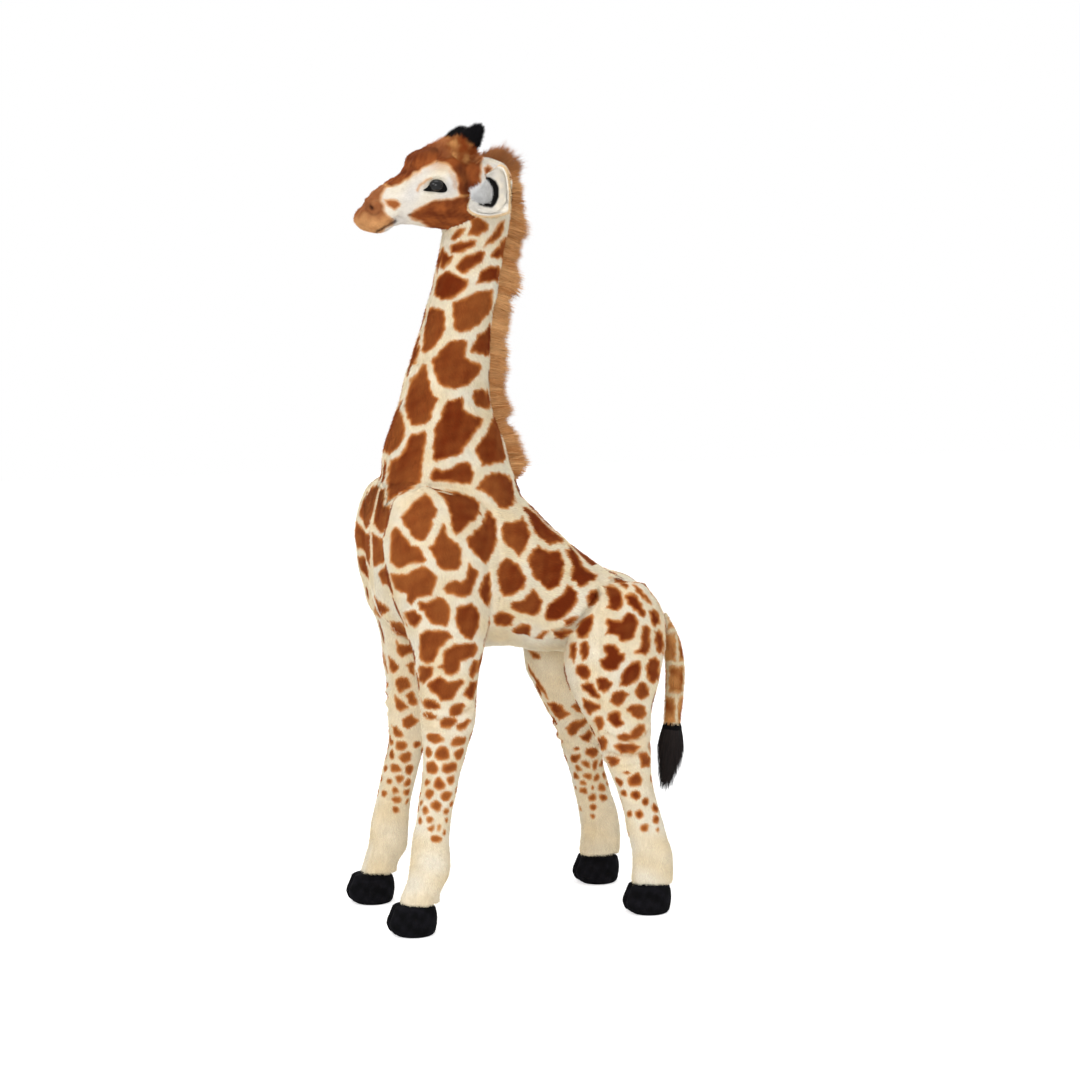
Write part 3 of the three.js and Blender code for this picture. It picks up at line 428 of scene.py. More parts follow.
def on_skin(pixels):
    """The points of the skin behind places in the picture."""
    return np.array([point for point in (hit(u, v) for u, v in pixels) if point is not None])


def from_line(points, line):
    """Distance of points from a line of places, in space or in the picture."""
    line = np.asarray(line, float)
    best = np.full(len(points), 1e9)
    for a, b in zip(line[:-1], line[1:]):
        ab = b - a
        t = np.clip(((points - a) @ ab) / max(ab @ ab, 1e-12), 0, 1)
        best = np.minimum(best, np.linalg.norm(points - a - t[:, None] * ab, axis=1))
    return best


# Seams and folds: places in the picture, depth and width in metres, then a raised lip beside the groove
SEAMS = [
    ([(384, 506), (397, 497), (413, 490), (430, 486), (447, 486), (464, 490), (480, 499), (491, 512),
      (497, 532), (499, 556), (498, 580), (500, 600)], 0.0022, 0.0045, 0.001),
    ([(500, 600), (492, 622), (484, 642)], 0.0018, 0.004, 0.001),
    ([(598, 588), (601, 620), (603, 650), (600, 680), (601, 705), (606, 742)], 0.0022, 0.004, 0.0014),
    ([(598, 592), (590, 605), (582, 616), (572, 627), (556, 631)], 0.01, 0.005, 0.004),
    ([(597, 746), (610, 753), (626, 757), (641, 752)], 0.0052, 0.0048, 0.0032),
    ([(606, 734), (620, 741), (636, 740), (648, 733)], 0.004, 0.0045, 0.0028),
    ([(610, 764), (624, 766), (638, 762)], 0.0018, 0.004, 0.0012),
    ([(584, 688), (592, 694), (600, 702)], 0.003, 0.004, 0.002),
    ([(424, 716), (440, 720), (458, 716), (470, 708)], 0.0042, 0.0045, 0.0026),
    ([(425, 729), (438, 732), (450, 730)], 0.0018, 0.004, 0.0014),
    ([(430, 664), (445, 676), (462, 680)], 0.0016, 0.005, 0.001),
]
# The deep folds, along which the coat's colour is darkened as painted shade
DEEP_FOLD = 0.003
SHADED_FOLDS = [on_skin(pixels) for pixels, depth, width, lip in SEAMS if depth > DEEP_FOLD]
push = np.zeros(len(V))
for pixels, depth, width, lip in SEAMS:
    seam = on_skin(pixels)
    for line in (seam, seam * [-1, 1, 1]):
        away = from_line(V, line)
        push -= depth * np.exp(-((away / width) ** 2))
        push += lip * np.exp(-(((away - 2.2 * width) / (1.2 * width)) ** 2))
# The seam up the middle of neck and chest, and the small unevenness of the stuffing
front_middle = (N[:, 1] < -0.4) & (is_neck | is_torso)
push -= np.where(front_middle, 0.0022 * np.exp(-((V[:, 0] / 0.003) ** 2)), 0)
push += np.where(front_middle, 0.0012 * np.exp(-(((np.abs(V[:, 0]) - 0.007) / 0.004) ** 2)), 0)
push += np.where(is_head, 0, 0.0014 * wobble(V, 0.09, 3) + 0.0007 * wobble(V, 0.035, 4))
V = V + N * push[:, None]
V = smoothed(V, E, np.where(is_head, 0.0, 0.35), 1)
N = normals_of(V, Q)


# The coat's patches on the near side, as outlines read in the picture; the other side mirrors them
OUTLINES = [
    [(472, 219), (478, 217), (484, 220), (488, 224), (488, 229), (484, 232), (478, 235), (468, 235),
     (471, 228)],
    [(451, 240), (453, 235), (456, 231), (460, 229), (465, 229), (461, 234), (458, 238), (455, 240)],
    [(504, 221), (503, 228), (500, 236), (496, 240), (491, 242), (484, 246), (485, 242), (490, 237),
     (494, 232), (497, 226), (500, 222)],
    [(451, 245), (462, 242), (470, 240), (475, 241), (475, 244), (471, 247), (465, 251), (460, 252),
     (452, 253), (450, 249)],
    [(443, 247), (445, 251), (449, 256), (453, 257), (451, 261), (447, 265), (443, 269), (440, 265),
     (440, 256)],
    [(456, 266), (460, 261), (465, 257), (472, 254), (480, 251), (484, 251), (484, 255), (482, 262),
     (477, 265), (471, 269), (467, 272), (462, 273), (458, 269)],
    [(507, 236), (506, 243), (505, 250), (504, 256), (497, 258), (491, 258), (491, 255), (494, 251),
     (499, 246), (503, 239)],
    [(499, 266), (499, 271), (497, 280), (492, 281), (484, 282), (476, 284), (479, 277), (481, 272),
     (485, 269), (491, 266)],
    [(450, 271), (453, 274), (459, 277), (468, 280), (466, 289), (460, 292), (455, 297), (449, 299),
     (440, 299), (434, 295), (434, 289), (437, 281), (440, 276), (445, 272)],
    [(472, 294), (480, 291), (493, 290), (491, 295), (492, 302), (490, 310), (485, 317), (479, 324),
     (471, 329), (462, 332), (455, 330), (454, 322), (453, 302), (460, 300), (466, 298)],
    [(431, 308), (440, 309), (444, 311), (445, 319), (444, 330), (441, 338), (437, 344), (431, 350),
     (424, 353), (422, 351), (424, 341), (424, 330), (425, 321), (427, 312)],
    [(492, 324), (491, 335), (489, 347), (488, 356), (480, 354), (471, 351), (472, 345), (476, 340),
     (478, 335), (484, 331)],
    [(419, 338), (419, 351), (417, 359), (415, 364), (411, 364), (412, 356), (416, 346)],
    [(450, 341), (462, 340), (467, 341), (467, 347), (465, 352), (465, 357), (470, 361), (480, 364),
     (481, 368), (479, 373), (475, 378), (467, 385), (460, 387), (455, 389), (445, 387), (439, 384),
     (436, 375), (434, 369), (432, 362), (433, 359), (438, 356), (440, 351), (445, 346)],
    [(424, 364), (426, 365), (427, 372), (429, 381), (431, 389), (433, 394), (438, 399), (436, 404),
     (434, 409), (431, 415), (430, 420), (425, 423), (417, 425), (412, 426), (410, 422), (407, 414),
     (405, 406), (406, 399), (409, 389), (411, 381), (416, 375), (421, 369)],
    [(399, 409), (401, 413), (403, 419), (405, 427), (405, 434), (402, 441), (396, 449), (389, 454),
     (386, 449), (387, 440), (390, 431), (394, 420), (397, 412)],
    [(447, 401), (454, 400), (460, 398), (462, 396), (463, 404), (464, 410), (471, 414), (483, 419),
     (481, 424), (476, 431), (470, 439), (466, 445), (463, 450), (459, 455), (450, 457), (442, 460),
     (436, 461), (433, 459), (433, 450), (434, 437), (435, 427), (440, 419), (443, 410), (446, 404)],
    [(481, 389), (474, 391), (473, 396), (474, 401), (477, 406), (484, 408), (489, 409), (489, 402),
     (488, 396), (485, 390)],
    [(411, 434), (419, 433), (425, 431), (426, 440), (424, 450), (422, 462), (421, 475), (420, 482),
     (415, 485), (409, 490), (400, 494), (392, 499), (387, 503), (388, 481), (389, 469), (391, 461),
     (400, 456), (405, 449), (408, 441)],
    [(430, 478), (431, 474), (433, 470), (435, 468), (442, 471), (449, 470), (456, 465), (462, 462),
     (468, 461), (471, 466), (473, 472), (473, 479), (471, 484), (462, 484), (452, 482), (435, 481)],
    [(494, 417), (497, 422), (500, 430), (502, 437), (504, 446), (508, 459), (501, 462), (491, 464),
     (482, 466), (480, 460), (477, 454), (475, 449), (479, 442), (485, 435), (489, 426), (492, 420)],
    [(476, 489), (480, 484), (485, 477), (491, 473), (500, 473), (507, 475), (512, 482), (514, 490),
     (515, 498), (512, 506), (505, 509), (498, 507), (494, 500), (487, 494), (482, 490)],
    [(425, 494), (430, 497), (433, 503), (437, 510), (436, 517), (433, 520), (431, 528), (429, 534),
     (425, 539), (420, 541), (415, 539), (411, 534), (407, 529), (404, 523), (401, 517), (405, 513),
     (410, 507), (416, 500)],
    [(437, 491), (445, 491), (456, 492), (465, 495), (474, 498), (479, 502), (479, 514), (475, 519),
     (470, 523), (465, 528), (460, 533), (456, 534), (452, 530), (451, 524), (451, 517), (449, 510),
     (447, 504), (443, 498)],
    [(443, 523), (446, 528), (446, 534), (450, 539), (456, 543), (461, 548), (461, 555), (461, 564),
     (457, 569), (450, 570), (440, 569), (437, 565), (436, 559), (432, 552), (429, 547), (434, 544),
     (436, 539), (439, 532)],
    [(397, 527), (401, 532), (406, 538), (411, 545), (419, 547), (422, 552), (426, 559), (422, 564),
     (415, 562), (407, 565), (400, 568), (394, 565), (391, 562), (390, 553), (391, 543), (392, 533),
     (394, 528)],
    [(487, 510), (492, 515), (496, 520), (496, 530), (496, 540), (494, 549), (490, 557), (486, 564),
     (481, 560), (474, 553), (469, 547), (467, 539), (471, 535), (477, 529), (482, 524), (485, 517)],
    [(391, 574), (400, 575), (407, 574), (415, 569), (421, 567), (426, 567), (431, 572), (437, 577),
     (436, 582), (433, 589), (431, 596), (424, 596), (417, 597), (411, 605), (408, 602), (407, 594),
     (402, 592), (396, 588), (392, 580)],
    [(469, 563), (473, 568), (479, 572), (476, 579), (473, 588), (470, 595), (462, 597), (454, 595),
     (447, 592), (443, 589), (447, 584), (454, 580), (461, 583), (466, 578), (467, 570)],
    [(485, 574), (489, 573), (490, 578), (491, 588), (490, 598), (488, 607), (485, 604), (481, 598),
     (479, 590)],
    [(418, 604), (420, 601), (427, 603), (432, 600), (437, 597), (444, 599), (449, 604), (450, 610),
     (449, 618), (447, 626), (440, 625), (432, 623), (427, 618), (425, 612), (420, 608)],
    [(457, 607), (465, 605), (472, 603), (477, 608), (479, 614), (479, 622), (476, 632), (472, 639),
     (465, 638), (460, 632), (456, 623), (456, 615)],
    [(404, 613), (410, 611), (416, 610), (422, 618), (419, 623), (415, 628), (410, 624), (406, 618)],
    [(420, 634), (425, 631), (431, 630), (445, 631), (450, 634), (452, 637), (446, 641), (440, 648),
     (437, 653), (434, 662), (425, 663), (421, 661), (420, 650), (420, 640)],
    [(470, 643), (474, 643), (477, 646), (475, 653), (472, 657), (467, 659), (460, 661), (459, 670),
     (457, 674), (452, 675), (447, 674), (442, 668), (438, 667), (439, 665), (443, 663), (443, 655),
     (445, 651), (449, 647), (455, 645), (462, 644)],
    [(420, 666), (430, 666), (433, 669), (432, 674), (430, 677), (423, 684), (419, 679), (419, 672)],
    [(470, 667), (474, 661), (478, 660), (478, 666), (477, 671), (472, 678), (469, 674)],
    [(428, 685), (431, 681), (436, 678), (440, 676), (444, 679), (449, 682), (460, 679), (464, 681),
     (463, 684), (459, 687), (457, 692), (456, 696), (452, 699), (446, 701), (441, 701), (439, 697),
     (434, 694), (430, 690)],
    [(465, 690), (470, 683), (475, 681), (476, 686), (475, 692), (473, 697), (470, 700), (466, 697),
     (463, 694)],
    [(423, 702), (427, 699), (436, 701), (440, 705), (440, 708), (436, 709), (427, 708), (424, 706)],
    [(449, 709), (451, 706), (457, 704), (462, 703), (465, 706), (462, 710), (460, 714), (455, 716),
     (450, 716)],
    [(424, 713), (427, 712), (431, 713), (436, 716), (434, 719), (429, 719), (425, 717)],
    [(440, 720), (444, 717), (456, 719), (457, 721), (455, 724), (451, 727), (446, 728), (441, 726)],
    [(457, 726), (462, 722), (467, 719), (470, 720), (468, 725), (465, 729), (461, 730), (457, 729)],
    [(523, 516), (521, 519), (518, 521), (512, 522), (504, 522), (502, 527), (502, 539), (504, 543),
     (509, 547), (514, 550), (519, 557), (523, 552), (526, 547), (529, 540), (530, 536), (528, 528),
     (524, 520)],
    [(526, 512), (530, 510), (535, 512), (542, 520), (550, 528), (565, 542), (555, 543), (550, 545),
     (545, 542), (540, 539), (536, 535), (533, 529), (528, 516)],
    [(538, 546), (543, 549), (550, 552), (558, 550), (561, 554), (564, 565), (562, 573), (559, 586),
     (554, 589), (547, 590), (543, 586), (539, 581), (534, 577), (532, 571), (527, 561), (530, 556),
     (533, 550)],
    [(506, 558), (512, 561), (519, 566), (522, 571), (526, 579), (525, 584), (522, 589), (518, 592),
     (511, 595), (504, 596), (500, 590), (498, 582), (497, 575), (500, 563)],
    [(565, 551), (570, 549), (574, 552), (578, 556), (582, 566), (588, 571), (597, 575), (594, 580),
     (589, 582), (584, 586), (579, 587), (576, 583), (571, 580), (570, 575), (572, 570), (572, 565),
     (570, 559)],
    [(530, 591), (533, 589), (537, 594), (541, 599), (543, 602), (541, 609), (538, 613), (534, 615),
     (527, 614), (520, 612), (511, 608), (511, 603), (519, 601), (524, 600), (526, 596)],
    [(567, 585), (571, 586), (576, 592), (577, 599), (575, 605), (565, 616), (559, 619), (551, 621),
     (546, 619), (544, 616), (546, 610), (549, 604), (553, 600), (559, 597), (564, 592)],
    [(572, 546), (576, 548), (590, 559), (597, 567), (594, 566), (580, 554)],
    [(493, 616), (498, 612), (504, 612), (510, 614), (514, 618), (511, 625), (504, 626), (496, 625)],
    [(513, 631), (516, 627), (522, 624), (529, 625), (531, 630), (529, 635), (522, 638), (517, 638)],
    [(533, 640), (543, 631), (548, 631), (542, 637)],
    [(564, 620), (570, 618), (577, 616), (571, 625), (565, 626)],
    [(552, 630), (560, 631), (570, 629), (573, 632), (561, 639), (555, 635)],
    [(586, 597), (590, 592), (595, 590), (598, 593), (599, 599), (595, 604), (588, 606)],
    [(603, 569), (614, 573), (620, 576), (626, 580), (628, 586), (626, 589), (616, 581), (609, 576)],
    [(633, 585), (637, 587), (649, 599), (651, 605), (636, 591)],
    [(605, 587), (609, 585), (615, 587), (620, 591), (622, 597), (623, 603), (621, 608), (617, 611),
     (607, 608), (609, 604), (608, 597)],
    [(626, 595), (630, 594), (635, 594), (645, 610), (645, 616), (643, 618), (631, 606), (625, 599)],
    [(623, 617), (626, 613), (630, 612), (634, 615), (638, 621), (637, 626), (634, 637), (629, 641),
     (623, 642), (619, 640), (618, 636), (613, 634), (606, 634), (608, 627), (606, 623), (608, 619),
     (621, 621)],
    [(642, 627), (646, 625), (649, 627), (650, 643), (649, 651), (646, 655), (634, 653), (640, 647),
     (641, 641)],
    [(603, 646), (609, 644), (614, 645), (619, 649), (619, 653), (624, 654), (624, 659), (621, 663),
     (617, 669), (610, 671), (604, 669), (599, 661), (603, 659), (606, 654)],
    [(631, 663), (636, 661), (640, 662), (641, 674), (638, 679), (633, 683), (626, 686), (620, 686),
     (621, 676), (624, 670), (628, 666)],
    [(647, 663), (651, 658), (655, 657), (659, 661), (659, 677), (654, 683), (649, 681), (646, 669)],
    [(650, 611), (653, 610), (657, 612), (660, 621), (656, 626), (653, 626), (650, 616)],
    [(655, 631), (660, 631), (663, 637), (663, 646), (661, 653), (658, 654), (655, 640)],
    [(576, 631), (578, 626), (581, 621), (589, 616), (592, 614), (593, 624), (590, 630), (587, 636),
     (583, 638), (578, 637)],
    [(581, 644), (584, 641), (588, 642), (589, 653), (587, 659), (583, 661), (580, 651)],
    [(570, 646), (573, 643), (576, 644), (577, 650), (574, 663), (571, 658)],
    [(577, 665), (581, 664), (587, 666), (590, 670), (590, 676), (588, 680), (583, 679), (579, 676),
     (576, 673)],
    [(596, 679), (601, 677), (607, 679), (613, 683), (612, 686), (609, 690), (603, 692), (598, 689)],
    [(581, 686), (587, 682), (593, 684), (595, 689), (600, 697), (598, 699), (593, 697), (583, 690)],
    [(636, 690), (639, 683), (644, 682), (647, 687), (649, 694), (646, 698), (640, 699), (636, 696)],
    [(610, 701), (612, 695), (617, 691), (623, 691), (629, 694), (624, 699), (621, 704), (617, 707),
     (613, 704)],
    [(583, 698), (600, 705), (600, 709), (594, 711), (590, 715), (586, 711), (583, 705)],
    [(626, 709), (631, 704), (639, 704), (645, 707), (646, 713), (643, 718), (638, 720), (633, 716)],
    [(609, 714), (614, 711), (619, 711), (621, 718), (624, 723), (621, 726), (616, 728), (611, 724),
     (607, 720)],
    [(594, 721), (597, 716), (602, 717), (604, 724), (603, 729), (599, 730)],
    [(617, 736), (623, 733), (630, 734), (634, 728), (640, 724), (644, 724), (645, 730), (641, 735),
     (634, 739), (626, 740), (619, 740)],
    [(597, 738), (603, 736), (607, 741), (606, 748), (600, 752), (596, 746)],
    [(614, 746), (622, 743), (634, 744), (640, 747), (634, 752), (622, 753)],
    [(606, 757), (612, 756), (619, 759), (618, 764), (611, 766)],
    [(639, 754), (646, 752), (651, 758), (649, 766), (642, 767)],
]
# The same for the far side, where it shows past the near one
FAR_OUTLINES = [
    [(373, 594), (379, 602), (385, 605), (390, 609), (385, 613), (380, 617), (376, 610)],
    [(391, 621), (400, 622), (405, 626), (408, 632), (410, 639), (404, 636), (397, 634), (392, 630)],
    [(396, 640), (398, 645), (411, 644), (414, 650), (409, 653), (403, 657), (399, 655)],
    [(389, 656), (392, 659), (396, 662), (398, 667), (397, 671), (394, 673), (391, 672)],
    [(407, 664), (411, 662), (414, 663), (414, 675), (411, 672)],
    [(396, 680), (401, 677), (406, 678), (410, 682), (409, 688), (405, 689), (400, 692), (397, 690)],
    [(407, 695), (412, 692), (415, 694), (417, 704), (413, 705), (409, 702)],
    [(395, 695), (398, 699), (403, 702), (408, 707), (405, 709), (400, 712), (396, 706)],
    [(402, 720), (407, 717), (411, 715), (419, 720), (416, 724), (412, 727), (408, 729), (404, 726)],
    [(392, 726), (396, 726), (400, 731), (403, 735), (401, 738), (395, 736)],
    [(529, 651), (539, 654), (540, 658), (534, 658)],
    [(529, 668), (535, 675), (545, 690), (548, 698), (541, 690), (533, 680)],
    [(548, 703), (555, 702), (562, 706), (567, 712), (570, 714), (565, 718), (559, 720), (553, 712)],
    [(572, 707), (576, 704), (580, 704), (583, 713), (578, 711)],
    [(566, 729), (570, 724), (576, 721), (584, 719), (588, 721), (583, 726), (579, 729), (576, 734),
     (571, 736)],
    [(580, 736), (585, 733), (589, 730), (591, 732), (591, 737), (590, 741), (584, 741)],
]
# Patches on the front of the chest: outlines in metres, away from the middle and up
CHEST = [
    [(0.006, 0.738), (0.03, 0.744), (0.06, 0.736), (0.082, 0.712), (0.084, 0.692), (0.05, 0.67),
     (0.034, 0.668), (0.008, 0.679), (0.005, 0.7)],
    [(0.006, 0.668), (0.03, 0.66), (0.05, 0.661), (0.088, 0.678), (0.092, 0.65), (0.086, 0.63),
     (0.05, 0.622), (0.006, 0.606)],
    [(0.09, 0.62), (0.05, 0.613), (0.024, 0.598), (0.036, 0.582), (0.066, 0.577), (0.086, 0.592)],
]
# Other patches, of the far side and the legs' inner faces: the places of their middles
PLACES = [
    (389, 512), (380, 604), (400, 630), (405, 650), (390, 665), (412, 664),
    (402, 684), (412, 700), (398, 704), (408, 722), (397, 733), (557, 705), (575, 728), (587, 737),
    (646, 745), (394, 624),
]
# The smaller patches of the lower legs, with half their size in pixels
SMALL = [
    (427, 714, 5), (426, 722, 3), (465, 722, 8), (435, 737, 9), (459, 740, 8), (442, 754, 8), (429, 752, 5),
    (459, 754, 6), (432, 767, 6), (450, 768, 7), (440, 785, 7), (427, 781, 3), (451, 779, 4), (429, 794, 5),
    (447, 796, 6), (436, 807, 5), (426, 811, 3.5), (447, 812, 4), (430, 819, 3), (447, 820, 2.5),
    (433, 827, 4.5), (438, 828, 3.5), (444, 832, 2.5), (436, 839, 4), (420, 821, 3), (421, 803, 3),
    (456, 790, 3), (452, 804, 3), (394, 715, 3), (397, 731, 6), (416, 735, 6), (400, 745, 7),
    (417, 745, 4), (391, 755, 4.5), (405, 757, 5.5), (394, 769, 5), (409, 769, 5), (400, 780, 4.5),
    (389, 783, 3), (407, 782, 4), (396, 792, 3.5), (384, 794, 3), (407, 792, 3.5), (398, 799, 4.5),
    (407, 802, 3), (397, 810, 3.5), (650, 747, 6), (612, 760, 6.5), (644, 760, 7), (633, 780, 8.5),
    (651, 778, 5), (618, 782, 4.5), (635, 795, 5), (623, 793, 3.5), (655, 808, 4.5), (646, 802, 4),
    (639, 815, 4.2), (655, 820, 4), (644, 827, 3.8), (656, 830, 2.2), (629, 815, 3.2), (627, 770, 4),
    (565, 742, 5), (577, 760, 7), (592, 752, 6), (587, 776, 5.2), (595, 764, 5.2), (575, 775, 4),
    (597, 778, 4), (583, 783, 4), (583, 790, 4.6), (593, 797, 5.2), (602, 787, 4), (593, 807, 3.2),
    (581, 809, 2.4), (592, 816, 2.2), (603, 798, 3.8), (573, 789, 3),
]


def spacing(points):
    """How far apart the patches lie round these points, in metres."""
    z = points[:, 2]
    leg = lerp(0.018, 0.052, np.clip((z - 0.2) / 0.36, 0, 1))
    neck = lerp(0.064, 0.04, np.clip((z - 0.95) / 0.28, 0, 1))
    return np.where(z > 0.62, neck, leg)


PIXEL = DISTANCE / FOCAL_PX
PATCH_REACH = 0.66


def along_outline(outline):
    """One place in a round patch, three along a long one."""
    corners = np.array(outline, float)
    centre = corners.mean(0)
    sizes, ways = np.linalg.eigh(np.cov((corners - centre).T))
    if sizes[1] < 2.2 * sizes[0]:
        return [centre]
    return [centre + share * math.sqrt(sizes[1]) * ways[:, 1] for share in (-0.8, 0, 0.8)]


seeds, owner, reaches = [], [], []
patch_count = 0
for patch in [along_outline(outline) for outline in OUTLINES] + [[place] for place in PLACES]:
    for point in on_skin(patch):
        seeds.append(point)
        owner.append(patch_count)
        reaches.append(PATCH_REACH * spacing(point[None])[0])
    patch_count += 1
for u, v, half in SMALL:
    point = hit(u, v)
    if point is not None:
        seeds.append(point)
        owner.append(patch_count)
        reaches.append(1.12 * half * PIXEL)
        patch_count += 1
# The hidden side: mirror images, moved a little, where they keep clear of what is seen
MIDDLE_WIDE, LEAST_ROOM, MOST_TRIES = 0.012, 0.84, 5200
left_seeds, left_owner, left_reaches = np.array(seeds), np.array(owner), np.array(reaches)
for one in range(patch_count):
    group = left_seeds[left_owner == one]
    if not len(group) or abs(group[:, 0]).min() < MIDDLE_WIDE:
        continue
    mirrored = group * [-1, 1, 1] + rng.normal(0, 0.002, 3)
    room = np.minimum(0.62 * spacing(mirrored), 1.3 * left_reaches[left_owner == one])
    if (np.linalg.norm(np.array(seeds)[None] - mirrored[:, None], axis=2).min(1) < room).any():
        continue
    seeds.extend(mirrored)
    owner.extend([patch_count + one] * len(mirrored))
    reaches.extend(left_reaches[left_owner == one])
patch_count *= 2
# Where nothing was read: patches scattered at the same spacing
inner = N[:, 0] * np.sign(V[:, 0]) < -0.25
wanted = is_neck | (is_torso & (N[:, 2] > -0.3)) | (is_front_leg & (V[:, 2] > 0.2))
wanted |= is_rear_leg & (V[:, 2] > 0.175) & ~(inner & (V[:, 2] > 0.37))
wanted &= ~(is_torso & (N[:, 1] < -0.5) & (V[:, 2] < 0.585))
wanted &= ~(is_torso & (V[:, 2] < 0.5) & (V[:, 1] < 0.1))
wanted &= ~(inner & is_front_leg & (V[:, 2] > 0.5))
seen = (N * unit(VIEWER - V)).sum(1) > 0.2
for i in rng.permutation(np.flatnonzero(wanted & ~(seen & (V[:, 0] > 0.01))))[:MOST_TRIES]:
    point = V[i]
    room = spacing(point[None])[0]
    if np.linalg.norm(np.array(seeds) - point, axis=1).min() > LEAST_ROOM * room:
        seeds.append(point)
        owner.append(patch_count)
        low = np.clip((point[2] - 0.2) / 0.17, 0, 1)
        reach = PATCH_REACH * room if low == 1 else lerp(0.0052, 0.0135, low) * rng.uniform(0.8, 1.1)
        reaches.append(reach)
        patch_count += 1
seeds, owner, reaches = np.array(seeds), np.array(owner), np.array(reaches)


def srgb(r, g, b):
    c = np.array([r, g, b], float) / 255
    return np.where(c <= 0.04045, c / 12.92, ((c + 0.055) / 1.055) ** 2.4)


CREAM, WARM_CREAM = srgb(252, 239, 215), srgb(248, 226, 186)
WHITE = srgb(234, 228, 219)
TAN, ORANGE = srgb(222, 160, 96), srgb(190, 108, 48)
DARK_BROWN, BROWN, PALE_BROWN = srgb(122, 46, 8), srgb(150, 72, 28), srgb(176, 102, 48)
BLACK, SOFT_BLACK, DARK_LINE = srgb(8, 8, 9), srgb(20, 19, 21), srgb(60, 30, 16)


# Points worked on at a time, patch middles looked at for each, and how soft their corners are in metres
CHUNK, NEAREST, SOFTNESS = 8000, 9, 0.0028


def patch_edge(points):
    """Depth inside the nearest patch by spacing and by reach, in metres, and the patch's number."""
    depth, reached = np.empty(len(points)), np.empty(len(points))
    number = np.empty(len(points), int)
    for start in range(0, len(points), CHUNK):
        part = slice(start, start + CHUNK)
        p = points[part]
        d2 = ((p[:, None, :] - seeds[None]) ** 2).sum(2)
        nearest = np.argpartition(d2, NEAREST - 1, axis=1)[:, :NEAREST]
        near2 = np.take_along_axis(d2, nearest, 1)
        order = np.argsort(near2, axis=1)
        nearest = np.take_along_axis(nearest, order, 1)
        near2 = np.take_along_axis(near2, order, 1)
        own = nearest[:, 0]
        gap = np.linalg.norm(seeds[nearest] - seeds[own][:, None], axis=2)
        bisect = (near2 - near2[:, :1]) / (2 * np.maximum(gap, 1e-6))
        bisect = np.where(owner[nearest] == owner[own][:, None], 1.0, bisect)
        depth[part] = -SOFTNESS * np.log(np.exp(-bisect / SOFTNESS).sum(1))
        reached[part] = reaches[own] - np.sqrt(near2[:, 0])
        number[part] = owner[own]
    return depth, reached, number


# How deep a place counts as lying where no outline is near, in metres, and how near that is, in pixels
NO_PATCH, LOOK_ROUND = -0.02, 6


def outlined(at, outlines):
    """How deep places in the picture lie inside outlined patches, in metres, and which is nearest."""
    depth, number = np.full(len(at), NO_PATCH), np.zeros(len(at), int)
    for one, outline in enumerate(outlines):
        corners = np.array(outline, float)
        low, high = corners.min(0) - LOOK_ROUND, corners.max(0) + LOOK_ROUND
        close = np.flatnonzero(((at > low) & (at < high)).all(1))
        inside = from_outline(at[close], corners) * PIXEL
        better = inside > depth[close]
        depth[close[better]] = inside[better]
        number[close[better]] = one
    return depth, number


def mixed(a, b, t):
    return a + (b - a) * t[:, None]


def mottled(a, b, points, middle, much, size, seed):
    """Two colours mixed by smooth noise over the points."""
    return mixed(a, b, np.clip(middle + much * wobble(points, size, seed), 0, 1))


def face_picture(points):
    return to_picture(mirror(points))


